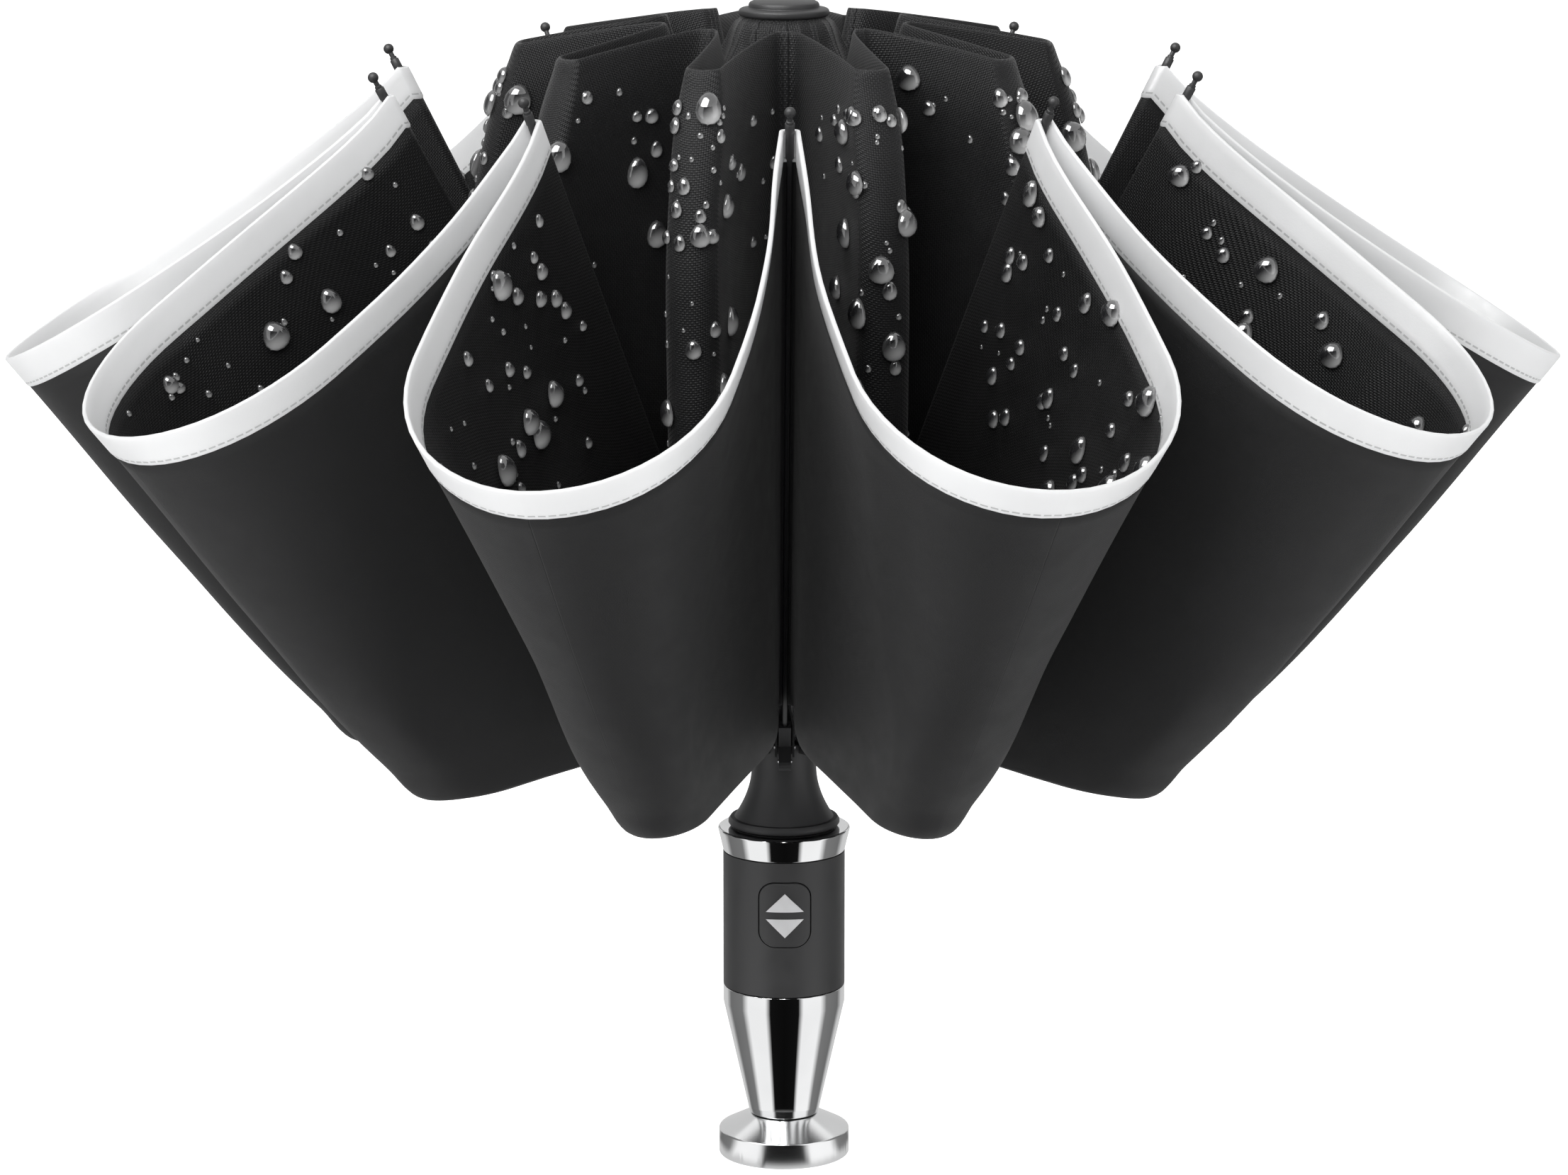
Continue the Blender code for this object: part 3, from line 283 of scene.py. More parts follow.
def add_node(tree, kind, inputs=None, **settings):
    """A node with its settings, and its inputs given as values or as sockets to link."""
    made = tree.nodes.new(kind)
    for name, value in settings.items():
        setattr(made, name, value)
    feed(tree, made, inputs or {})
    return made


def math_node(tree, operation, *values):
    return add_node(tree, "ShaderNodeMath", dict(enumerate(values)), operation=operation).outputs[0]


def mix_colors(tree, share, first, second):
    return add_node(tree, "ShaderNodeMix", {0: share, 6: first, 7: second}, data_type="RGBA").outputs[2]


def map_range(tree, value, low, high, new_low, new_high):
    limits = {0: value, 1: low, 2: high, 3: new_low, 4: new_high}
    return add_node(tree, "ShaderNodeMapRange", limits).outputs[0]


def split_axes(tree, vector):
    return add_node(tree, "ShaderNodeSeparateXYZ", {0: vector}).outputs


def object_place(tree):
    return add_node(tree, "ShaderNodeTexCoord").outputs["Object"]


def vector_length(tree, vector):
    return add_node(tree, "ShaderNodeVectorMath", {0: vector}, operation="LENGTH").outputs["Value"]


def noise_at(tree, vector, scale, detail):
    inputs = {"Vector": vector, "Scale": scale, "Detail": detail}
    return add_node(tree, "ShaderNodeTexNoise", inputs).outputs[0]


def new_group(name, inputs, outputs):
    """An empty shader group. inputs are (name, socket type, default) and outputs (name, type)."""
    tree = bpy.data.node_groups.new(name, "ShaderNodeTree")
    for label, kind, default in inputs:
        socket = tree.interface.new_socket(label, in_out="INPUT", socket_type=kind)
        if default is not None:
            socket.default_value = default
    for label, kind in outputs:
        tree.interface.new_socket(label, in_out="OUTPUT", socket_type=kind)
    return tree, tree.nodes.new("NodeGroupInput").outputs, tree.nodes.new("NodeGroupOutput").inputs


def woven_threads_group():
    """Plain weave from a metre-true UV map: thread height, and a slow variation in tone."""
    tree, given, wanted = new_group(
        "Woven Threads",
        [("Vector", "NodeSocketVector", None), ("Pitch", "NodeSocketFloat", 0.7 * MM)],
        [("Height", "NodeSocketFloat"), ("Tone", "NodeSocketFloat")])
    scaled = add_node(tree, "ShaderNodeVectorMath", {0: given["Vector"]}, operation="SCALE")
    tree.links.new(math_node(tree, "DIVIDE", 1.0, given["Pitch"]), scaled.inputs["Scale"])
    axes = split_axes(tree, scaled.outputs[0])
    ridges = []
    cells = []
    for axis in range(2):
        wave = math_node(tree, "SINE", math_node(tree, "MULTIPLY", axes[axis], math.pi))
        ridges.append(math_node(tree, "ABSOLUTE", wave))
        cells.append(math_node(tree, "FLOOR", axes[axis]))
    parity = math_node(tree, "FLOORED_MODULO", math_node(tree, "ADD", *cells), 2.0)
    over = math_node(tree, "MULTIPLY", ridges[0], parity)
    under = math_node(tree, "MULTIPLY", ridges[1], math_node(tree, "SUBTRACT", 1.0, parity))
    floor = math_node(tree, "MULTIPLY", math_node(tree, "MULTIPLY", *ridges), 0.5)
    tree.links.new(math_node(tree, "ADD", math_node(tree, "ADD", over, under), floor), wanted["Height"])
    tree.links.new(noise_at(tree, given["Vector"], 90.0, 3.0), wanted["Tone"])
    return tree


def soft_grain_group():
    """Fine grain for bump and slow patches for colour and roughness, on object coordinates."""
    tree, given, wanted = new_group(
        "Soft Grain",
        [("Scale", "NodeSocketFloat", 900.0)],
        [("Grain", "NodeSocketFloat"), ("Patches", "NodeSocketFloat")])
    place = object_place(tree)
    slow = math_node(tree, "MULTIPLY", given["Scale"], 0.04)
    tree.links.new(noise_at(tree, place, given["Scale"], 2.0), wanted["Grain"])
    tree.links.new(noise_at(tree, place, slow, 3.0), wanted["Patches"])
    return tree


def new_material(name, color):
    """A material with its own Principled BSDF: the material, its tree and the shader."""
    material = bpy.data.materials.new(name)
    material.use_nodes = True
    material.diffuse_color = (*color, 1.0)
    tree = material.node_tree
    shader = tree.nodes["Principled BSDF"]
    feed(tree, shader, {"Base Color": (*color, 1.0)})
    return material, tree, shader


def place_group(tree, group, **inputs):
    return add_node(tree, "ShaderNodeGroup", inputs, node_tree=GROUPS[group]).outputs


def shaded(color, factor):
    return (*(min(1.0, part * factor) for part in color), 1.0)


def bump(tree, shader, height, depth, strength=1.0, under=None):
    """Bump from a height, laid over another bump's normal where one is given: its own normal."""
    inputs = {"Strength": strength, "Distance": depth, "Height": height}
    if under:
        inputs["Normal"] = under
    normal = add_node(tree, "ShaderNodeBump", inputs).outputs[0]
    feed(tree, shader, {"Normal": normal})
    return normal


def cloth_material(name, color, pitch, depth, roughness, sheen, specular, painted_weave_shade):
    """Woven cloth: threads from the UV map with painted shade and highlight by their height, slubs in tone,
    a sheen and a sewn seam at each rib with a painted highlight along it.
    """
    material, tree, shader = new_material(name, color)
    uv = add_node(tree, "ShaderNodeUVMap", uv_map="UVMap").outputs[0]
    weave = place_group(tree, "weave", Vector=uv, Pitch=pitch)
    grain = place_group(tree, "grain", Scale=260.0)
    # Painted shade and highlight: each thread is darker where the weave sinks and lighter where it rises, by
    # painted_weave_shade.
    threads = mix_colors(tree, weave["Height"], shaded(color, 1 - painted_weave_shade), shaded(color, 1 + painted_weave_shade))
    tone = mix_colors(tree, map_range(tree, grain["Patches"], 0.35, 0.65, 0.0, 1.0),
                      shaded(color, 0.88), shaded(color, 1.12))
    cloth = mix_colors(tree, 0.5, threads, tone)
    from_rib = add_node(tree, "ShaderNodeAttribute", attribute_name="from_rib").outputs["Fac"]
    seam = map_range(tree, from_rib, SEAM_FLAT, SEAM_HALF_WIDTH, 1.0, 0.0)
    # The seam is painted up to 1.7 times as light at its middle: a painted highlight along the raised seam.
    feed(tree, shader, {
        "Base Color": mix_colors(tree, math_node(tree, "MULTIPLY", seam, 0.5), cloth, shaded(color, 2.4)),
        "Roughness": map_range(tree, weave["Tone"], 0.3, 0.7, roughness - 0.06, roughness + 0.06),
        "Sheen Weight": sheen, "Sheen Roughness": 0.45, "Specular IOR Level": specular})
    raised = bump(tree, shader, seam, 0.5 * MM)
    bump(tree, shader, weave["Height"], depth, 0.8, raised)
    return material


def binding_material(name, color):
    """Reflective tape: fine glass beads, a stitched line and a slight greying in its hollows."""
    material, tree, shader = new_material(name, color)
    uv = add_node(tree, "ShaderNodeUVMap", uv_map="UVMap").outputs[0]
    beads = add_node(tree, "ShaderNodeTexVoronoi", {"Vector": uv, "Scale": 1800.0}).outputs["Distance"]
    grain = place_group(tree, "grain", Scale=400.0)
    axes = split_axes(tree, uv)
    dashes = math_node(tree, "FRACT", math_node(tree, "DIVIDE", axes[0], STITCH_PITCH))
    off_dash = math_node(tree, "ABSOLUTE", math_node(tree, "SUBTRACT", dashes, 0.5))
    off_line = math_node(tree, "ABSOLUTE", math_node(tree, "SUBTRACT", axes[1], STITCH_FROM_EDGE))
    stitch = math_node(tree, "MULTIPLY", math_node(tree, "LESS_THAN", off_dash, 0.36),
                       math_node(tree, "LESS_THAN", off_line, STITCH_HALF_WIDTH))
    tape = mix_colors(tree, map_range(tree, grain["Patches"], 0.3, 0.7, 0.0, 1.0),
                      shaded(color, 0.93), shaded(color, 1.04))
    feed(tree, shader, {
        "Base Color": mix_colors(tree, stitch, tape, shaded(color, 0.62)),
        "Roughness": map_range(tree, grain["Grain"], 0.3, 0.7, 0.34, 0.5),
        "Specular IOR Level": 0.5})
    height = math_node(tree, "SUBTRACT", math_node(tree, "MULTIPLY", beads, 0.12), stitch)
    bump(tree, shader, height, 0.15 * MM, 0.5)
    return material


def moulded_material(name, color, roughness, grain_scale, depth, metallic=0.0, spread=0.05):
    """Moulded, painted or plated surface with fine grain and slow patches in its gloss."""
    material, tree, shader = new_material(name, color)
    grain = place_group(tree, "grain", Scale=grain_scale)
    patches = map_range(tree, grain["Patches"], 0.35, 0.65, 0.0, 1.0)
    feed(tree, shader, {
        "Base Color": mix_colors(tree, patches, shaded(color, 0.94), shaded(color, 1.06)),
        "Roughness": map_range(tree, patches, 0.0, 1.0, max(0.02, roughness - spread), roughness + spread),
        "Metallic": metallic})
    bump(tree, shader, grain["Grain"], depth, 0.6)
    return material


def brushed_material(name, color, roughness, stretch):
    """Brushed metal: streaks drawn out along one axis of the object."""
    material, tree, shader = new_material(name, color)
    drawn = add_node(tree, "ShaderNodeMapping", {"Vector": object_place(tree), "Scale": stretch})
    streaks = noise_at(tree, drawn.outputs[0], 900.0, 4.0)
    feed(tree, shader, {
        "Base Color": mix_colors(tree, map_range(tree, streaks, 0.3, 0.7, 0.0, 1.0),
                                 shaded(color, 0.85), shaded(color, 1.12)),
        "Roughness": map_range(tree, streaks, 0.3, 0.7, roughness - 0.06, roughness + 0.08),
        "Metallic": 1.0})
    bump(tree, shader, streaks, 0.01 * MM, 0.4)
    return material


def water_material(name):
    """Water on dark cloth: each drop's base colour is painted white along its lower edge and foot, painted
    light in place of what it gathers there.
    """
    material, tree, shader = new_material(name, (0.05, 0.05, 0.055))
    glow = add_node(tree, "ShaderNodeAttribute", attribute_name="glow").outputs["Fac"]
    grain = place_group(tree, "grain", Scale=120.0)
    # Painted light: glow turns the base colour white on each drop's low edge and foot.
    feed(tree, shader, {
        "Base Color": mix_colors(tree, glow, (0.03, 0.03, 0.032, 1), (1.0, 1.0, 1.0, 1)),
        "Roughness": map_range(tree, grain["Patches"], 0.3, 0.7, 0.0, 0.04),
        "IOR": 1.4, "Coat Weight": 1.0, "Coat Roughness": 0.02, "Coat IOR": 2.0})
    return material


def shining_finish(finish, name, color):
    """A finish without gloss that gives light of its own: the tree and the shader to set it."""
    material, tree, shader = new_material(name, color)
    feed(tree, shader, {"Specular IOR Level": 0.0, "Emission Color": (1, 1, 1, 1)})
    FINISHES[finish] = material
    return tree, shader


def make_finishes(scene):
    cloth = scene.umbrella_cloth
    handle = scene.umbrella_handle
    GROUPS["weave"] = woven_threads_group()
    GROUPS["grain"] = soft_grain_group()
    dry = tuple(cloth.dry_color)
    wet = tuple(cloth.wet_color)
    # Painted light: the cone and folds take the wet side's cloth twice as light and with more sheen, for the
    # light that falls on them from above.
    folds = tuple(2 * part for part in wet)
    chrome = tuple(handle.chrome_color)
    pitch = cloth.thread_pitch
    FINISHES.update({
        "dry_cloth": cloth_material("pongee_dry_side", dry, pitch * 0.5, depth=0.02 * MM, roughness=0.62,
                                    sheen=0.08, specular=0.24, painted_weave_shade=0.4),
        "wet_cloth": cloth_material("pongee_wet_side", wet, pitch, depth=0.1 * MM, roughness=0.5,
                                    sheen=0.06, specular=0.14, painted_weave_shade=0.8),
        "painted_light_fold_cloth": cloth_material("pongee_folds", folds, pitch, depth=0.1 * MM, roughness=0.5,
                                     sheen=0.15, specular=0.2, painted_weave_shade=0.8),
        "binding": binding_material("reflective_binding", tuple(cloth.binding_color)),
        "chrome": moulded_material("polished_chrome", chrome, 0.05, 700.0, 0.0004 * MM,
                                   metallic=1.0, spread=0.02),
        "soft_chrome": moulded_material("satin_chrome", chrome, 0.17, 700.0, 0.0004 * MM,
                                        metallic=1.0, spread=0.02),
        "grip": moulded_material("soft_touch_rubber", tuple(handle.grip_color), 0.5, 3000.0, 0.012 * MM),
        "plastic": moulded_material("satin_black_plastic", tuple(handle.plastic_color), 0.5, 2200.0,
                                    0.006 * MM),
        "steel": moulded_material("painted_black_steel", tuple(handle.steel_color), 0.4, 1600.0,
                                  0.008 * MM),
        "tube": brushed_material("drawn_steel_tube", (0.42, 0.42, 0.43), 0.24, (1.0, 1.0, 0.04)),
        "arrow": moulded_material("satin_silver_arrow", tuple(handle.arrow_color), 0.42, 2600.0,
                                  0.004 * MM, metallic=0.15),
        "water": water_material("rain_water"),
    })


# Mesh tools

def add_piece(name, bm, finish, smooth_angle=40):
    """A named piece from a bmesh, at the origin, smooth except at sharp edges."""
    mesh = bpy.data.meshes.new(name)
    bm.to_mesh(mesh)
    bm.free()
    mesh.shade_smooth()
    mesh.set_sharp_from_angle(angle=math.radians(smooth_angle))
    for one in [finish] if isinstance(finish, str) else finish:
        mesh.materials.append(FINISHES[one])
    piece = bpy.data.objects.new(name, mesh)
    bpy.context.scene.collection.objects.link(piece)
    return piece


def round_edges(piece, width, segments, angle):
    edge = piece.modifiers.new("Rounded edges", "BEVEL")
    edge.width = width
    edge.segments = segments
    edge.limit_method = "ANGLE"
    edge.angle_limit = math.radians(angle)


def turned(profile, segments):
    """A bmesh turned about Z from (radius, height) points in millimetres."""
    bm = bmesh.new()
    verts = [bm.verts.new((radius * MM, 0, height * MM)) for radius, height in profile]
    edges = [bm.edges.new(pair) for pair in zip(verts, verts[1:])]
    if profile[0][0] > 0:
        edges.append(bm.edges.new((verts[-1], verts[0])))
    bmesh.ops.spin(bm, geom=verts + edges, cent=(0, 0, 0), axis=(0, 0, 1), angle=2 * math.pi,
                   steps=segments, use_merge=True)
    bmesh.ops.remove_doubles(bm, verts=bm.verts, dist=TURNED_MERGE)
    bmesh.ops.recalc_face_normals(bm, faces=bm.faces)
    return bm


def rounded_outline(width, height, corner, steps):
    """Points (x, z) of a rounded rectangle about its centre, in millimetres."""
    points = []
    for side_x, side_z, quarter in ((1, 1, 0), (-1, 1, 1), (-1, -1, 2), (1, -1, 3)):
        for step in range(steps + 1):
            angle = (quarter + step / steps) * math.pi / 2
            points.append((side_x * (width / 2 - corner) + corner * math.cos(angle),
                           side_z * (height / 2 - corner) + corner * math.sin(angle)))
    return points


def prism(outline, near, far, lift):
    """A bmesh prism of (x, z) points in millimetres between two depths along -Y."""
    bm = bmesh.new()
    face = bm.faces.new([bm.verts.new((x * MM, -near * MM, (z + lift) * MM)) for x, z in outline])
    made = bmesh.ops.extrude_face_region(bm, geom=[face])
    moved = [item for item in made["geom"] if isinstance(item, bmesh.types.BMVert)]
    bmesh.ops.translate(bm, verts=moved, vec=(0, (near - far) * MM, 0))
    bmesh.ops.recalc_face_normals(bm, faces=bm.faces)
    return bm


def rib_matrix(rib, tilt):
    """Where a rib's pin is, with Z along the rib when tilt is its splay."""
    angle = rib * PANEL - math.pi / 2
    pivot = Vector((PIVOT_RADIUS * math.cos(angle), PIVOT_RADIUS * math.sin(angle), PIVOT_HEIGHT)) * MM
    return Matrix.Translation(pivot) @ Matrix.Rotation(angle, 4, "Z") @ Matrix.Rotation(tilt, 4, "Y")


def dress(piece, body, slot, *nodes):
    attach(piece, body)
    if nodes:
        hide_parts(*nodes)


def set_numbers(mesh, name, values):
    """A number from 0 to 1 for each point of a mesh."""
    mesh.attributes[name].data.foreach_set("value", values.clip(0, 1).astype(np.float32))


# Cloth

def half_turn(turn):
    """Points of half a turn, from a rib to the middle of its panel, with X along the rib."""
    half = PANEL / 2
    if turn.half_width is None:
        places = []
        for column in range(COLUMNS + 1):
            share = column / COLUMNS
            angle = share * half
            radius = turn.valley[0] + (turn.lobe[0] - turn.valley[0]) * share ** PLEAT_POWER
            places.append((radius * math.cos(angle), radius * math.sin(angle), turn.valley[1]))
        return places
    along = Vector((math.cos(half), math.sin(half)))
    off = Vector((math.sin(half), -math.cos(half)))
    start = along * turn.valley[0]
    widest = Vector((start.x + (turn.lobe[0] - start.x) * turn.widest_share, turn.half_width))
    rolled = math.pi / 2 * (1 - turn.opened)
    plan = []
    for column in range(GROOVE_COLUMNS + 1):
        angle = column / GROOVE_COLUMNS * rolled
        plan.append(start + off * turn.crease * math.sin(angle)
                    + along * turn.crease * (1 - math.cos(angle)))
    side = plan.pop()
    way = off * math.cos(rolled) + along * math.sin(rolled)
    reach = (widest - side).length
    near, far = turn.pulls
    curve = interpolate_bezier(side, side + way * reach * near, widest - Vector((reach * far, 0)), widest,
                               SIDE_COLUMNS + 1)
    plan.extend(Vector(point[:2]) for point in curve)
    for column in range(1, END_COLUMNS + 1):
        angle = column / (END_COLUMNS - 1) * LAST_COLUMN_ANGLE if column < END_COLUMNS else math.pi / 2
        plan.append(Vector((widest.x + (turn.lobe[0] - widest.x) * math.sin(angle),
                            widest.y * math.cos(angle))))
    places = []
    for point in plan:
        out = max(0.0, (point.x - side.x) / (turn.lobe[0] - side.x)) ** turn.rise
        height = turn.valley[1] + (turn.lobe[1] - turn.valley[1]) * out
        places.append((point.x * math.cos(half) + point.y * math.sin(half),
                       point.x * math.sin(half) - point.y * math.cos(half), height))
    return places


def column_spline():
    """The turns as an array in metres, their places along the cloth and the slopes there."""
    points = np.array([half_turn(turn) for turn in TURNS]) * MM
    gaps = np.linalg.norm(np.diff(points, axis=0), axis=2).mean(axis=1)
    places = np.concatenate(([0.0], np.cumsum(gaps)))
    rises = np.diff(points, axis=0) / gaps[:, None, None]
    slopes = np.empty_like(points)
    slopes[0] = rises[0]
    slopes[-1] = rises[-1]
    for turn in range(1, len(TURNS) - 1):
        before, after = gaps[turn - 1], gaps[turn]
        slopes[turn] = (rises[turn - 1] * after + rises[turn] * before) / (before + after)
    return points, places, slopes


def cloth_at(spline, turn, share):
    """Half a turn of cloth at a share of the way from one turn to the next, and its slope."""
    points, places, slopes = spline
    if turn == len(TURNS) - 1:
        turn, share = turn - 1, 1.0
    gap = places[turn + 1] - places[turn]
    square = share * share
    cube = square * share
    place = ((2 * cube - 3 * square + 1) * points[turn]
             + (cube - 2 * square + share) * gap * slopes[turn]
             + (3 * square - 2 * cube) * points[turn + 1]
             + (cube - square) * gap * slopes[turn + 1])
    slope = ((6 * square - 6 * share) * (points[turn] - points[turn + 1]) / gap
             + (3 * square - 4 * share + 1) * slopes[turn]
             + (3 * square - 2 * share) * slopes[turn + 1])
    return place, slope


def dry_normals(place, slope):
    """Unit normals towards the dry side, with the half turn mirrored at both its ends."""
    across = np.empty_like(place)
    across[1:-1] = place[2:] - place[:-2]
    across[0] = (0, 2 * place[1][1], 0)
    half = PANEL / 2
    mirror = np.array((-math.sin(half), math.cos(half), 0.0))
    step = place[-1] - place[-2]
    across[-1] = 2 * step.dot(mirror) * mirror
    normals = np.cross(across, slope)
    return normals / np.maximum(np.linalg.norm(normals, axis=1), 1e-12)[:, None]


def rows_between(spline, first, last):
    """Rows of cloth from one turn to another: places, dry normals and how many turns along."""
    spots = []
    for turn in range(first, last):
        steps = TURNS[turn].steps
        spots.extend((turn, step / steps) for step in range(steps))
    spots.append((last, 0.0))
    rows = []
    for turn, share in spots:
        place, slope = cloth_at(spline, turn, share)
        rows.append((place, dry_normals(place, slope), turn + share))
    return rows


def smooth_step(share):
    return share * share * (3 - 2 * share)


def row_lengths(place):
    """How far each point of a row is from the rib, along the cloth."""
    steps = np.linalg.norm(np.diff(place, axis=0), axis=1)
    return np.concatenate(([0.0], np.cumsum(steps)))


class HalfPanel:
    """The cloth on one side of a rib: places with their ripples, dry normals and flat sizes."""

    def __init__(self, rib, side, rows, ripple):
        turn = Matrix.Rotation(rib * PANEL - math.pi / 2, 3, "Z")
        rotate = np.array(turn) @ np.diag((1.0, side, 1.0))
        panel = rib if side > 0 else (rib - 1) % RIBS
        places, normals, across, from_rib = [], [], [], []
        for place, normal, turn_place in rows:
            length = row_lengths(place)
            from_middle = length[-1] - length
            held = smooth_step(np.clip(length / RIPPLE_FREE_FROM, 0, 1))
            depth = ripple * float(np.interp(turn_place, *zip(*RIPPLE_SHARES)))
            up = turn_place * RIPPLES_PER_TURN
            wave = np.array([noise.noise(Vector((side * u / RIPPLE_LENGTH, up, panel * PANEL_NOISE_STEP)))
                             for u in from_middle])
            places.append((place + normal * (wave * depth * held)[:, None]) @ rotate.T)
            normals.append(normal @ rotate.T)
            across.append(side * from_middle)
            from_rib.append(length)
        self.places = np.array(places)
        self.normals = np.array(normals)
        self.across = np.array(across)
        self.from_rib = np.array(from_rib)
        runs = np.linalg.norm(np.diff(self.places, axis=0), axis=2)
        self.along = np.concatenate((np.zeros((1, COLUMNS + 1)), np.cumsum(runs, axis=0)))
        self.side = side


def number_layer(bm, name):
    return bm.verts.layers.float.get(name) or bm.verts.layers.float.new(name)


def add_grid(bm, places, uvs, flip, **numbers):
    """A grid of faces through places, with a UV map and named numbers for each point."""
    rows, columns = places.shape[:2]
    uv_layer = bm.loops.layers.uv.get("UVMap") or bm.loops.layers.uv.new("UVMap")
    for name in numbers:
        number_layer(bm, name)
    made = bmesh.ops.create_grid(bm, x_segments=columns - 1, y_segments=rows - 1, size=1.0)["verts"]
    spot = {}
    for vert in made:
        column = round((vert.co.x + 1) / 2 * (columns - 1))
        row = round((vert.co.y + 1) / 2 * (rows - 1))
        spot[vert] = (row, column)
        vert.co = places[row, column]
        for name, values in numbers.items():
            vert[bm.verts.layers.float[name]] = float(values[row, column])
    faces = {face for vert in made for face in vert.link_faces}
    for face in faces:
        for loop in face.loops:
            loop[uv_layer].uv = uvs[spot[loop.vert]]
    if flip:
        bmesh.ops.reverse_faces(bm, faces=list(faces))


def finish_grids(bm):
    bmesh.ops.remove_doubles(bm, verts=bm.verts, dist=CLOTH_MERGE)


def panel_uvs(panel):
    return np.stack((panel.across, panel.along), axis=2)


def rib_shares(rows):
    """How far each point moves with its rib: fully beside it, not in mid-panel or at the foot."""
    shares = []
    for place, normal, turn_place in rows:
        length = row_lengths(place)
        rise = min(1.0, max(0.0, (turn_place - FOOT_TURN - 1) / (LOW_TURN - FOOT_TURN)))
        shares.append(smooth_step(1 - length / length[-1]) * smooth_step(rise))
    return np.array(shares)


def hold_on_rib(piece, rib):
    """The piece bends between the hub and a rib by the shares kept in its mesh."""
    kept = np.zeros(len(piece.data.vertices), np.float32)
    piece.data.attributes["rib_share"].data.foreach_get("value", kept)
    angle = rib * PANEL - math.pi / 2
    tip = (TIP_RADIUS * MM * math.cos(angle), TIP_RADIUS * MM * math.sin(angle), TIP_HEIGHT * MM)
    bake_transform(piece, "hub", f"rib_{rib}", start=(0, 0, PIVOT_HEIGHT * MM), end=tip)
    piece.data.attributes["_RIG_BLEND"].data.foreach_set("value", kept)
    piece.data.attributes.remove(piece.data.attributes["rib_share"])


def thicken(piece, thickness):
    """Thickness towards the dry side; the wet side takes the second finish."""
    shell = piece.modifiers.new("Thickness", "SOLIDIFY")
    shell.thickness = thickness
    shell.offset = 1
    shell.material_offset = 1


class UMBRELLA_OT_folds(bpy.types.Operator):
    """Make the cone under the cap and the folds of cloth round the shaft"""
    bl_idname = "umbrella.folds"
    bl_label = "Cone and folds"

    def execute(self, context):
        cloth = context.scene.umbrella_cloth
        spline = column_spline()
        for name, first, last, nodes in (
                ("cloth_cone", 0, GAP_TURN, ()),
                ("cloth_folds", GAP_TURN, FOOT_TURN, ("canopy_crown", "canopy_wall"))):
            rows = rows_between(spline, first, last)
            bm = bmesh.new()
            for rib in range(RIBS):
                for side in (1, -1):
                    panel = HalfPanel(rib, side, rows, cloth.ripple)
                    add_grid(bm, panel.places, panel_uvs(panel), side < 0, from_rib=panel.from_rib)
            finish_grids(bm)
            # The wet side of the cone and folds is the painted-light copy of the wet cloth.
            piece = add_piece(name, bm, ("dry_cloth", "painted_light_fold_cloth"), 180)
            thicken(piece, cloth.thickness)
            dress(piece, "hub", "wet_cloth", *nodes)
        return {"FINISHED"}


class UMBRELLA_OT_petals(bpy.types.Operator):
    """Make the petals, one piece for the cloth that each rib carries, with its binding"""
    bl_idname = "umbrella.petals"
    bl_label = "Petals and binding"

    def execute(self, context):
        cloth = context.scene.umbrella_cloth
        spline = column_spline()
        rows = rows_between(spline, FOOT_TURN, SEAM_TURN)
        rim = rows_between(spline, SEAM_TURN, RIM_TURN)
        shares = rib_shares(rows)
        rim_shares = rib_shares(rim)
        for rib in range(RIBS):
            bm = bmesh.new()
            band = bmesh.new()
            for side in (1, -1):
                panel = HalfPanel(rib, side, rows, cloth.ripple)
                add_grid(bm, panel.places, panel_uvs(panel), side < 0, rib_share=shares,
                         from_rib=panel.from_rib)
                self.add_binding(band, HalfPanel(rib, side, rim, cloth.ripple), rim_shares, cloth)
            finish_grids(bm)
            finish_grids(band)
            self.close_ends(band)
            petal = add_piece(f"petal_cloth_{rib}", bm, ("dry_cloth", "wet_cloth"), 180)
            thicken(petal, cloth.thickness)
            binding = add_piece(f"binding_{rib}", band, "binding", 60)
            for piece, slot, node in ((petal, "dry_cloth", "canopy_petals"),
                                      (binding, "reflective_trim", "edge_trim")):
                hold_on_rib(piece, rib)
                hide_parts(node)
        return {"FINISHED"}

    def add_binding(self, band, panel, shares, cloth):
        """The folded band: its outer side, the fold over the rim and its inner side."""
        middle = cloth.thickness / 2
        half = cloth.binding_thickness / 2
        edge = half * BINDING_EDGE_SHARE
        last = len(panel.places) - 1
        out = panel.places[last] - panel.places[last - 1]
        out = out / np.linalg.norm(out, axis=1)[:, None]
        back = panel.places[1] - panel.places[0]
        back = back / np.linalg.norm(back, axis=1)[:, None] * -BINDING_OVERLAP
        loop = [(0, middle + edge, back, 0.0)]
        loop += [(row, middle + half, 0.0, BINDING_OVERLAP) for row in range(last + 1)]
        for angle in FOLD_ANGLES:
            turn = math.radians(angle)
            lift = middle + half * math.sin(turn)
            loop.append((last, lift, out * half * math.cos(turn), BINDING_OVERLAP))
        loop += [(row, middle - half, 0.0, BINDING_OVERLAP) for row in range(last, -1, -1)]
        loop += [(0, middle - edge, back, 0.0), loop[0]]
        places = np.array([panel.places[row] + panel.normals[row] * lift + shift
                           for row, lift, shift, overlap in loop])
        heights = np.array([panel.along[row] + overlap for row, lift, shift, overlap in loop])
        uvs = np.stack((np.repeat(panel.across[:1], len(loop), axis=0), heights), axis=2)
        add_grid(band, places, uvs, panel.side > 0, rib_share=shares[[row for row, *rest in loop]])

    def close_ends(self, band):
        """Caps over the two ends of the band, which meet its neighbours'."""
        edges = [edge for edge in band.edges if edge.is_boundary]
        bmesh.ops.holes_fill(band, edges=edges, sides=0)
        bmesh.ops.recalc_face_normals(band, faces=band.faces)


# Painted light on the drops lies this way: low on each drop's side away from the key lamp
PAINTED_LIGHT_WAY = Vector((0.42, -0.35, -0.84)).normalized()

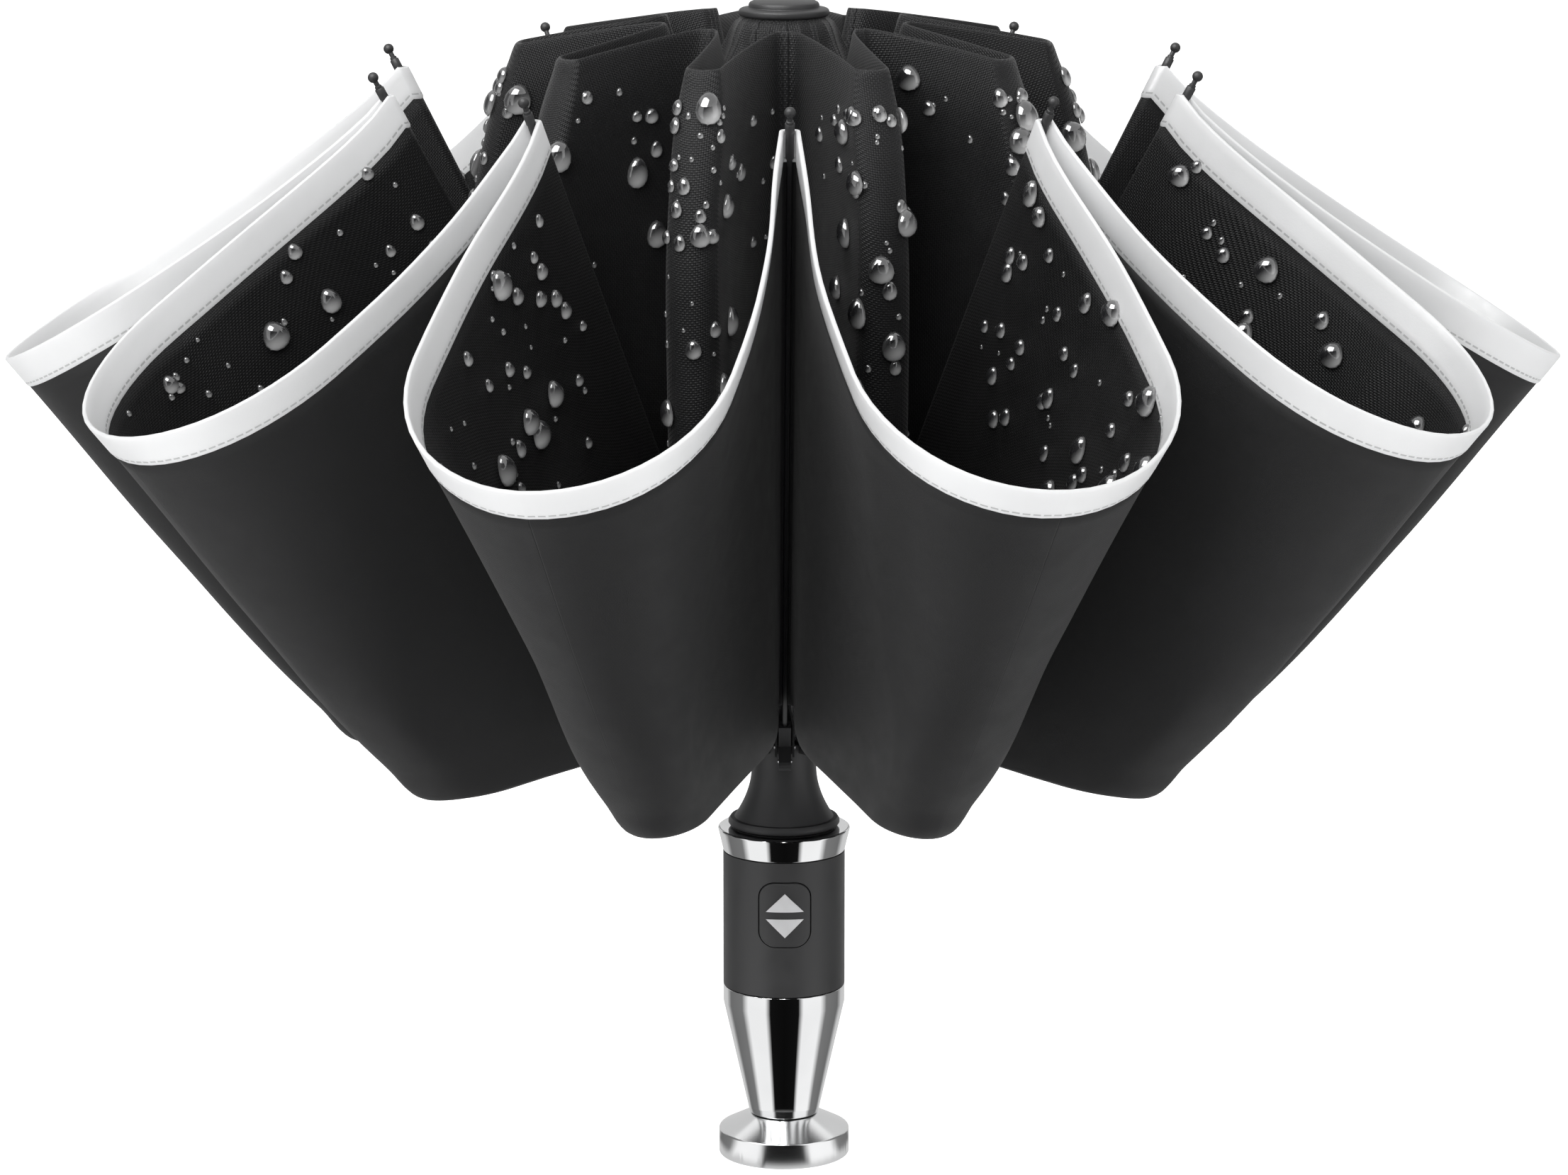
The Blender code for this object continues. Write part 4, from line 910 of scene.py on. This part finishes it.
# A drop is painted lighter by a power of how far it faces that way, and a little more at its foot, a painted
# rim of light
PAINTED_LIGHT_POWER = 1.6
PAINTED_FOOT_GLOW = 0.22

# Kinds of drops: the draw below which a drop is of that kind, and its smallest and largest width
# as shares of the widest drop
DROP_KINDS = ((0.12, 0.72, 1.0), (0.5, 0.36, 0.6), (1.0, 0.15, 0.26))

# A panel's drops, shared between the wall and the upper rows of the petal. A power over 1 draws
# them to the top of the wall, and to the rib's side of a panel.
DROP_SEED = 7
WALL_DROP_SHARE = 0.4
PETAL_DROP_SHARE = 0.6
WET_PETAL_SHARE = 0.4
WALL_ROW_POWER = 1.3
COLUMN_POWER = 1.1

# A drop's height and length for its width. It is smaller where the cloth would bow more than this
# under it, stands off by this much (per metre) times its width squared, and has a finer bead from
# a width on.
DROP_HEIGHT_SHARE = 0.36
DROP_LENGTH_SHARES = (1.0, 1.35)
BOW_UNDER_DROP = 0.25 * MM
DROP_STAND_OFF = 10.0
FINE_BEAD_WIDTH = 3 * MM


class UMBRELLA_OT_drops(bpy.types.Operator):
    """Scatter rain drops over the wet side of the cloth"""
    bl_idname = "umbrella.drops"
    bl_label = "Rain drops"

    def execute(self, context):
        cloth = context.scene.umbrella_cloth
        spline = column_spline()
        draw = random.Random(DROP_SEED)
        self.beads = [self.make_bead(8, 6), self.make_bead(14, 10)]
        wall_rows = rows_between(spline, WALL_TOP_TURN, FOOT_TURN)
        petal_rows = rows_between(spline, LOW_TURN, SEAM_TURN)
        no_shares = np.zeros((len(wall_rows), COLUMNS + 1))
        petal_shares = rib_shares(petal_rows)
        wall = bmesh.new()
        for rib in range(RIBS):
            bm = bmesh.new()
            for side in (1, -1):
                panel = HalfPanel(rib, side, wall_rows, cloth.ripple)
                for size in self.sizes(draw, cloth, WALL_DROP_SHARE):
                    row = 1 + int((len(wall_rows) - 3) * draw.random() ** WALL_ROW_POWER)
                    self.add_drop(wall, panel, no_shares, size, draw, row)
                panel = HalfPanel(rib, side, petal_rows, cloth.ripple)
                for size in self.sizes(draw, cloth, PETAL_DROP_SHARE):
                    row = len(petal_rows) - 2 - int(len(petal_rows) * WET_PETAL_SHARE * draw.random())
                    self.add_drop(bm, panel, petal_shares, size, draw, row)
            piece = add_piece(f"petal_drops_{rib}", bm, "water", 180)
            hold_on_rib(piece, rib)
        for bead in self.beads:
            bpy.data.meshes.remove(bead)
        piece = add_piece("fold_drops", wall, "water", 180)
        piece.data.attributes.remove(piece.data.attributes["rib_share"])
        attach(piece, "hub")
        return {"FINISHED"}

    def sizes(self, draw, cloth, share):
        """Widths of the drops on half a panel: a few large, some middling and many small."""
        sizes = []
        for drop in range(round(cloth.drops * share / 2)):
            kind = draw.random()
            low, high = next(limits for below, *limits in DROP_KINDS if kind < below)
            sizes.append(cloth.drop_size * draw.uniform(low, high))
        return sizes

    def add_drop(self, bm, panel, shares, size, draw, row):
        """One bead on a row of the cloth, longer down it than it is wide."""
        free_columns = COLUMNS - GROOVE_COLUMNS - 1
        column = GROOVE_COLUMNS + 1 + int(free_columns * draw.random() ** COLUMN_POWER)
        over, onward = draw.random(), draw.random()
        corner = panel.places[row, column]
        below = panel.places[row + 1, column] - corner
        across = panel.places[row, column + 1] - corner
        spot = corner + below * over + across * onward
        up = -Vector(panel.normals[row, column]).normalized()
        near = panel.places[row, column - 1:column + 3] - corner
        bend = max(1e-6, (near @ np.array(up)).max() / (near ** 2).sum(axis=1).max())
        size = min(size, 2 * math.sqrt(BOW_UNDER_DROP / bend))
        down = Vector(below)
        if down.z > 0:
            down = -down
        wide = down.cross(up).normalized()
        long_axis = up.cross(wide).normalized()
        length = size * draw.uniform(*DROP_LENGTH_SHARES)
        high = up * size * DROP_HEIGHT_SHARE
        basis = Matrix((wide * size / 2, long_axis * length / 2, high)).transposed().to_4x4()
        basis.translation = Vector(spot) + up * (size * size * DROP_STAND_OFF)
        bead = self.beads[size > FINE_BEAD_WIDTH].copy()
        places = self.set_painted_light(bead, basis)
        offsets = places @ np.array(basis.to_3x3()).T + np.array(basis.translation) - corner
        held = np.full(len(places), shares[row, column])
        for edge, end in ((below, shares[row + 1, column]), (across, shares[row, column + 1])):
            held += offsets @ edge / (edge @ edge) * (end - shares[row, column])
        set_numbers(bead, "rib_share", held)
        bead.transform(basis)
        bm.from_mesh(bead)
        bpy.data.meshes.remove(bead)

    def set_painted_light(self, bead, basis):
        """Painted light for a bead's low edge and its foot, as numbers: the places of its points."""
        places = np.empty(len(bead.vertices) * 3)
        bead.vertices.foreach_get("co", places)
        places = places.reshape(-1, 3)
        shine = basis.to_3x3().normalized().transposed() @ PAINTED_LIGHT_WAY
        lit = np.maximum(0, places @ np.array(shine) / np.linalg.norm(places, axis=1).clip(0.1))
        foot = (1 - places[:, 2].clip(0, 1)) ** 3
        set_numbers(bead, "glow", lit ** PAINTED_LIGHT_POWER + foot * PAINTED_FOOT_GLOW)
        return places

    def make_bead(self, segments, rings):
        """Half a ball, wider at one end, with the numbers that each drop gives it."""
        bm = bmesh.new()
        bmesh.ops.create_uvsphere(bm, u_segments=segments, v_segments=rings, radius=1.0)
        bmesh.ops.delete(bm, geom=[vert for vert in bm.verts if vert.co.z < -0.01], context="VERTS")
        bmesh.ops.holes_fill(bm, edges=[edge for edge in bm.edges if edge.is_boundary], sides=0)
        for vert in bm.verts:
            vert.co.x *= 1 + 0.2 * vert.co.y
        number_layer(bm, "rib_share")
        number_layer(bm, "glow")
        mesh = bpy.data.meshes.new("bead")
        bm.to_mesh(mesh)
        bm.free()
        return mesh


# Handle and fittings

# Faces round the turned parts
CHROME_FACES = 288
GRIP_FACES = 144
RUNNER_FACES = 128
CAP_FACES = 96
TIP_FACES = 24

# The pommel's end: radius of its flat, and width and height of its round shoulder
END_RADIUS = 11.0
SHOULDER_WIDTH = 9.2
SHOULDER_HEIGHT = 2.6
SHOULDER_STEPS = 12

# Height of the button's middle, and width, height and corner of the window and the button
BUTTON_HEIGHT = 83.25
WINDOW_OUTLINE = (16.3, 20.8, 5.1)
BUTTON_OUTLINE = (15.7, 20.2, 4.8)
CORNER_STEPS = 10

# How far the backs and the faces are from the shaft's axis, and how the bowed faces are cut up
WINDOW_DEPTHS = (0, 22)
BUTTON_DEPTHS = (12.8, 19.35)
ARROW_DEPTHS = (18.9, 19.75)
FACE_INSET = 0.6 * MM
FACE_CUTS = range(-9, 10)

# The runner's waist: its radius and its height above the rim, how much it widens down to the rim,
# and how much and how soon it widens above
WAIST_RADIUS = 9.9
WAIST_HEIGHT = 18.6
RIM_FLARE = 7.3
NECK_FLARE = 1.4
NECK_RISE = 7.5

# How far round its own middle a tip's ball goes before the neck
BALL_SWEEP = math.radians(152)
BALL_STEPS = 11

# The lever's pin and the pin in its tail: place along and above the rib's pin, half length, radius
PINS = ((0, 0, 2.95, 0.85), (5.0, -3.4, 1.85, 0.62))


class UMBRELLA_OT_chrome(bpy.types.Operator):
    """Turn the pommel, the lower handle and the collar"""
    bl_idname = "umbrella.chrome"
    bl_label = "Chrome parts"

    def execute(self, context):
        edge = context.scene.umbrella_handle.edge_round
        dome = []
        for step in range(SHOULDER_STEPS + 1):
            angle = step / SHOULDER_STEPS * math.pi / 2
            dome.append((END_RADIUS + SHOULDER_WIDTH * math.sin(angle),
                         SHOULDER_HEIGHT * (1 - math.cos(angle))))
        pommel = [(0, 2.6), (18.2, 2.6), (18.2, 10.2), (8.7, 15.1), (10.7, 15.1), (20.2, 10.2),
                  *reversed(dome), (0, 0)]
        lower = [(0, 56.7), (18.8, 56.7), (18.8, 51.5), (10.7, 15.45), (8.7, 15.45), (16.8, 51.5),
                 (16.8, 54.7), (0, 54.7)]
        collar = [(20.0, 107.0), (20.4, 106.6), (18.8, 99.8), (16.0, 99.8), (16.0, 107.0)]
        for name, profile, width, finish in (("pommel", pommel, edge * 2, "soft_chrome"),
                                             ("lower_handle", lower, edge, "chrome"),
                                             ("chrome_collar", collar, edge * 0.5, "chrome")):
            piece = add_piece(f"{name}_turned", turned(profile, CHROME_FACES), finish, 25)
            round_edges(piece, width, 4, 20)
            dress(piece, "handle", "chrome", name)
        return {"FINISHED"}


class UMBRELLA_OT_grip(bpy.types.Operator):
    """Make the rubber grip with its window, the button in it and the two arrows"""
    bl_idname = "umbrella.grip"
    bl_label = "Grip and button"

    def execute(self, context):
        edge = context.scene.umbrella_handle.edge_round
        sleeve = turned([(16.0, 99.5), (18.8, 99.5), (18.8, 57.0), (16.0, 57.0)], GRIP_FACES)
        grip = add_piece("grip_rubber", sleeve, "grip", 30)
        opening = rounded_outline(*WINDOW_OUTLINE, CORNER_STEPS)
        window = add_piece("grip_window", prism(opening, *WINDOW_DEPTHS, BUTTON_HEIGHT), "grip")
        cut = grip.modifiers.new("Window", "BOOLEAN")
        cut.operation = "DIFFERENCE"
        cut.solver = "EXACT"
        cut.object = window
        context.view_layer.update()
        mesh = bpy.data.meshes.new_from_object(grip.evaluated_get(context.evaluated_depsgraph_get()))
        grip.modifiers.remove(cut)
        grip.data = mesh
        bpy.data.objects.remove(window, do_unlink=True)
        mesh.shade_smooth()
        mesh.set_sharp_from_angle(angle=math.radians(30))
        round_edges(grip, edge, 3, 30)
        dress(grip, "handle", "grip_rubber", "grip_sleeve")
        self.bowed("button_cap", rounded_outline(*BUTTON_OUTLINE, CORNER_STEPS), BUTTON_DEPTHS,
                   edge * 1.4, "grip", "black_plastic", "button")
        for name, way in (("arrow_up", 1), ("arrow_down", -1)):
            outline = [(-5.85, way * 1.15), (5.85, way * 1.15), (0, way * 6.95)]
            self.bowed(f"{name}_inlay", outline, ARROW_DEPTHS, 0.12 * MM, "arrow", "satin_silver", name)
        return {"FINISHED"}

    def bowed(self, name, outline, depths, edge, finish, slot, node):
        """A prism whose face follows the round of the grip."""
        back, front = depths
        bm = prism(outline, back, front, BUTTON_HEIGHT)
        faces = [face for face in bm.faces if abs(face.normal.y) > 0.9]
        for face in faces:
            bmesh.ops.inset_individual(bm, faces=[face], thickness=FACE_INSET, depth=0)
        bmesh.ops.triangulate(bm, faces=[face for face in bm.faces if len(face.verts) > 4])
        for cut in FACE_CUTS:
            geom = bm.verts[:] + bm.edges[:] + bm.faces[:]
            bmesh.ops.bisect_plane(bm, geom=geom, plane_co=(cut * MM, 0, 0), plane_no=(1, 0, 0))
        reach = front * MM
        for vert in bm.verts:
            if vert.co.y < -(back + front) / 2 * MM:
                vert.co.y += reach - math.sqrt(reach * reach - vert.co.x * vert.co.x)
        bmesh.ops.dissolve_degenerate(bm, edges=bm.edges, dist=0.01 * MM)
        bmesh.ops.recalc_face_normals(bm, faces=bm.faces)
        piece = add_piece(name, bm, finish, 30)
        round_edges(piece, edge, 3, 50)
        dress(piece, "button", slot, node)


def waist(height):
    """Radius of the runner at a height above its rim, in millimetres."""
    if height < WAIST_HEIGHT:
        return WAIST_RADIUS + RIM_FLARE * (1 - height / WAIST_HEIGHT) ** 2
    return WAIST_RADIUS + NECK_FLARE * min(1.0, (height - WAIST_HEIGHT) / NECK_RISE) ** 2


class UMBRELLA_OT_fittings(bpy.types.Operator):
    """Turn the runner and the top cap, and make the tips and lever pins"""
    bl_idname = "umbrella.fittings"
    bl_label = "Runner, cap and tips"

    def execute(self, context):
        edge = context.scene.umbrella_handle.edge_round
        outside = [(15.9, 0.0), (16.7, 0.25), (17.15, 0.9), (17.1, 1.7), (16.5, 2.6)]
        outside += [(waist(step * 0.9) + 0.05, step * 0.9) for step in range(3, 29)]
        outside += [(11.0, 26.1), (11.3, 26.4), (11.3, 27.3), (11.0, 27.5), (6.3, 27.5), (6.3, 17.0),
                    (14.2, 0.0)]
        runner = turned([(radius, 107.5 + height) for radius, height in outside], RUNNER_FACES)
        piece = add_piece("runner_bell", runner, "plastic", 50)
        dress(piece, "hub", "black_plastic", "runner")
        cap = [(0, 361.5), (9.4, 361.5), (10.3, 361.1), (10.65, 360.4), (10.65, 359.5), (12.9, 359.3),
               (13.5, 358.9), (13.65, 358.2), (13.5, 357.4), (13.0, 357.0), (4.5, 357.0), (4.5, 356.2),
               (0, 356.2)]
        piece = add_piece("cap_turned", turned(cap, CAP_FACES), "plastic", 30)
        round_edges(piece, edge * 0.6, 2, 35)
        dress(piece, "hub", "black_plastic", "top_cap")
        for rib in range(RIBS):
            self.make_tip(rib)
            self.make_pins(rib)
        return {"FINISHED"}

    def make_tip(self, rib):
        """A ferrule with a rolled lip, a thin neck with a collar, and a ball."""
        ball = []
        for step in range(BALL_STEPS + 1):
            angle = step / BALL_STEPS * BALL_SWEEP
            ball.append((BALL_RADIUS * math.sin(angle), RIB_LENGTH + BALL_RADIUS * math.cos(angle)))
        top = RIB_LENGTH - BALL_RADIUS - NECK_LENGTH
        bottom = top - FERRULE_LENGTH
        profile = [*ball, (NECK_RADIUS, top + 0.9), (1.05, top + 0.7), (1.05, top),
                   (FERRULE_RADIUS - 0.15, top), (FERRULE_RADIUS, top - 0.2), (FERRULE_RADIUS, top - 3.4),
                   (FERRULE_RADIUS - 0.2, top - 3.7), (FERRULE_RADIUS - 0.2, bottom + 0.2),
                   (FERRULE_RADIUS - 0.35, bottom), (0.85, bottom), (0.85, bottom + 2.0),
                   (0, bottom + 2.0)]
        bm = turned(profile, TIP_FACES)
        bmesh.ops.transform(bm, matrix=rib_matrix(rib, RIB_SPLAY), verts=bm.verts)
        piece = add_piece(f"tip_turned_{rib}", bm, "plastic", 45)
        dress(piece, f"rib_{rib}", "black_plastic", f"tip_{rib}")

    def make_pins(self, rib):
        """Riveted heads on the lever's pin, and the pin through its tail."""
        bm = bmesh.new()
        for x, z, reach, radius in PINS:
            for side in (1, -1):
                made = bmesh.ops.create_cone(bm, cap_ends=True, segments=16, radius1=radius * MM,
                                             radius2=radius * 0.7 * MM, depth=0.4 * MM)["verts"]
                place = Matrix.Translation((x * MM, side * (reach + 0.15) * MM, z * MM))
                place = place @ Matrix.Rotation(-side * math.pi / 2, 4, "X")
                bmesh.ops.transform(bm, matrix=place, verts=made)
        bmesh.ops.transform(bm, matrix=rib_matrix(rib, 0), verts=bm.verts)
        piece = add_piece(f"lever_rivets_{rib}", bm, "tube", 30)
        dress(piece, f"rib_{rib}", "tube_steel")


class UMBRELLA_OT_repaint(bpy.types.Operator):
    """Give the frame's own parts their finishes"""
    bl_idname = "umbrella.repaint"
    bl_label = "Finish the frame"

    def execute(self, context):
        finishes = {"handle_core": "plastic", "button_spring": "tube", "outer_tube": "tube",
                    "middle_tube": "tube", "inner_tube": "tube", "top_notch": "plastic",
                    "inner_ribs": "steel"}
        for rib in range(RIBS):
            finishes[f"mid_rib_{rib}"] = "steel"
            finishes[f"outer_rib_{rib}"] = "steel"
            finishes[f"rib_joint_{rib}"] = "plastic"
        for node, finish in finishes.items():
            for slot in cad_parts[node].material_slots:
                slot.material = FINISHES[finish]
        return {"FINISHED"}


# Studio

# Lamps: name, place, width and the setting with its power. They aim at a height on the shaft.
LAMPS = (
    ("key_lamp", (-0.45, -1.9, 0.9), 1.6, "key_power"),
    ("left_lamp", (-1.7, -0.5, 0.5), 1.0, "side_power"),
    ("right_lamp", (1.7, -0.5, 0.5), 1.0, "side_power"),
    ("back_lamp", (0.4, 1.7, 1.2), 1.2, "side_power"),
    ("top_lamp", (0.0, 0.2, 1.9), 0.8, "top_power"),
)
LAMP_AIM = 0.22

# The mirrored window, its aim and half its width
WINDOW_PLACE = (-0.75, -1.0, 1.45)
WINDOW_AIM = 0.25
WINDOW_HALF_WIDTH = 0.8

# The mirrored ring as (radius, height), and degrees round from the camera with the shade there.
# Close to the shaft it has one grey.
RING_PROFILE = ((21.0, 1.0), (1000.0, 1.0), (1000.0, 900.0))
RING_SHADES = ((0, 0.004), (26, 0.006), (35, 1.0), (70, 1.0), (84, 0.2), (118, 0.16), (134, 0.6),
               (180, 0.66))
RING_GREY = (0.62, 0.62, 0.62, 1)
RING_GREY_ENDS = (0.026, 0.032)

# The floor's own light grows from the shaft outwards
FLOOR_HALF_WIDTH = 14.0
FLOOR_GLOW_ENDS = (0.25, 1.3)
FLOOR_GLOW = (0.7, 1.0)


def light_for_rays(tree, seen, plain):
    """Seen is for the camera, reflections and what shows through water, plain for other rays."""
    path = add_node(tree, "ShaderNodeLightPath").outputs
    rays = math_node(tree, "MAXIMUM", path["Is Camera Ray"], path["Is Glossy Ray"])
    rays = math_node(tree, "MAXIMUM", rays, path["Is Transmission Ray"])
    return map_range(tree, rays, 0.0, 1.0, plain, seen)


def aimed_at(place, height):
    """The turn that points -Z from a place at a height on the shaft."""
    return (Vector((0, 0, height)) - Vector(place)).to_track_quat("-Z", "Y")


class UMBRELLA_OT_studio(bpy.types.Operator):
    """Set up the camera, the lamps, the floor and the cards that the chrome reflects"""
    bl_idname = "umbrella.studio"
    bl_label = "Studio"

    def execute(self, context):
        studio = context.scene.umbrella_studio
        self.make_camera(context, studio)
        self.make_world(context, studio)
        for name, place, size, power in LAMPS:
            self.make_lamp(context, name, place, size, getattr(studio, power))
        self.make_floor(studio)
        self.make_ring()
        self.make_window(studio)
        context.scene.view_settings.view_transform = "Standard"
        return {"FINISHED"}

    def make_camera(self, context, studio):
        data = bpy.data.cameras.new("camera")
        data.lens = studio.lens
        data.sensor_width = 36.0
        camera = bpy.data.objects.new("camera", data)
        context.scene.collection.objects.link(camera)
        camera.location = (-studio.camera_distance * math.sin(studio.camera_turn),
                           -studio.camera_distance * math.cos(studio.camera_turn), studio.camera_height)
        camera.rotation_euler = aimed_at(camera.location, studio.aim_height).to_euler()
        context.scene.camera = camera

    def make_world(self, context, studio):
        world = bpy.data.worlds.new("soft_room")
        world.use_nodes = True
        context.scene.world = world
        tree = world.node_tree
        feed(tree, tree.nodes["Background"], {
            "Color": (1, 1, 1, 1), "Strength": light_for_rays(tree, 1.0, studio.ambient)})

    def make_lamp(self, context, name, place, size, power):
        data = bpy.data.lights.new(name, "AREA")
        data.shape = "DISK"
        data.size = size
        data.energy = power
        lamp = bpy.data.objects.new(name, data)
        context.scene.collection.objects.link(lamp)
        lamp.location = place
        lamp.rotation_euler = aimed_at(lamp.location, LAMP_AIM).to_euler()
        lamp.visible_glossy = False

    def make_floor(self, studio):
        bm = bmesh.new()
        bmesh.ops.create_grid(bm, x_segments=8, y_segments=8, size=FLOOR_HALF_WIDTH)
        tree, shader = shining_finish("floor", "studio_floor", tuple(studio.floor_color))
        glow = map_range(tree, vector_length(tree, object_place(tree)), *FLOOR_GLOW_ENDS, *FLOOR_GLOW)
        strength = math_node(tree, "MULTIPLY", glow, light_for_rays(tree, 1.0, 0.0))
        feed(tree, shader, {"Roughness": 0.9, "Emission Strength": strength})
        add_piece("studio_floor", bm, "floor")

    def only_mirrored(self, piece):
        """Seen in reflections and nowhere else."""
        for rays in ("camera", "diffuse", "shadow", "transmission", "volume_scatter"):
            setattr(piece, f"visible_{rays}", False)

    def make_window(self, studio):
        """A bright window, up to the left of the camera."""
        bm = bmesh.new()
        bmesh.ops.create_grid(bm, x_segments=1, y_segments=1, size=WINDOW_HALF_WIDTH)
        turn = aimed_at(WINDOW_PLACE, WINDOW_AIM).to_matrix().to_4x4()
        bmesh.ops.transform(bm, matrix=Matrix.Translation(WINDOW_PLACE) @ turn, verts=bm.verts)
        tree, shader = shining_finish("window", "mirrored_window", (0, 0, 0))
        feed(tree, shader, {"Emission Strength": studio.glint})
        self.only_mirrored(add_piece("mirrored_window", bm, "window"))

    def make_ring(self):
        """A ring: dark in front, white beside, grey further round and paler behind."""
        bm = bmesh.new()
        verts = [bm.verts.new((0, -radius * MM, height * MM)) for radius, height in RING_PROFILE]
        edges = [bm.edges.new(pair) for pair in zip(verts, verts[1:])]
        bmesh.ops.spin(bm, geom=verts + edges, cent=(0, 0, 0), axis=(0, 0, 1), angle=2 * math.pi,
                       steps=96, use_merge=True)
        tree, shader = shining_finish("ring", "mirrored_ring", (0, 0, 0))
        place = object_place(tree)
        axes = split_axes(tree, place)
        back = math_node(tree, "MULTIPLY", axes[1], -1.0)
        angle = math_node(tree, "ABSOLUTE", math_node(tree, "ARCTAN2", axes[0], back))
        ramp = add_node(tree, "ShaderNodeValToRGB", {0: math_node(tree, "DIVIDE", angle, math.pi)})
        for degrees, shade in RING_SHADES[1:-1]:
            ramp.color_ramp.elements.new(degrees / 180)
        for stop, (degrees, shade) in zip(ramp.color_ramp.elements, RING_SHADES):
            stop.color = (shade, shade, shade, 1)
        far = map_range(tree, vector_length(tree, place), *RING_GREY_ENDS, 0.0, 1.0)
        feed(tree, shader, {
            "Emission Color": mix_colors(tree, far, RING_GREY, ramp.outputs[0]), "Emission Strength": 1.0})
        self.only_mirrored(add_piece("mirrored_ring", bm, "ring"))


class UMBRELLA_PT_panel(bpy.types.Panel):
    """Lists the umbrella's sizes, colours and makers"""
    bl_idname = "UMBRELLA_PT_panel"
    bl_label = "Inverted umbrella"
    bl_space_type = "VIEW_3D"
    bl_region_type = "UI"
    bl_category = "Umbrella"

    def draw(self, context):
        for setting in SETTINGS:
            group = getattr(context.scene, setting)
            box = self.layout.box()
            for name in group.__annotations__:
                box.prop(group, name)
        for operator in OPERATORS:
            self.layout.operator(operator.bl_idname)


OPERATORS = (UMBRELLA_OT_studio, UMBRELLA_OT_folds, UMBRELLA_OT_petals, UMBRELLA_OT_drops,
             UMBRELLA_OT_chrome, UMBRELLA_OT_grip, UMBRELLA_OT_fittings, UMBRELLA_OT_repaint)
SETTINGS = {"umbrella_cloth": UmbrellaCloth, "umbrella_handle": UmbrellaHandle,
            "umbrella_studio": UmbrellaStudio}
CLASSES = (*SETTINGS.values(), *OPERATORS, UMBRELLA_PT_panel)


def register():
    for one in CLASSES:
        bpy.utils.register_class(one)
    for name, group in SETTINGS.items():
        setattr(bpy.types.Scene, name, bpy.props.PointerProperty(type=group))


def unregister():
    for name in SETTINGS:
        delattr(bpy.types.Scene, name)
    for one in reversed(CLASSES):
        bpy.utils.unregister_class(one)


def main():
    register()
    make_finishes(bpy.context.scene)
    for operator in OPERATORS:
        area, name = operator.bl_idname.split(".")
        getattr(getattr(bpy.ops, area), name)()


if __name__ == "__main__":
    main()
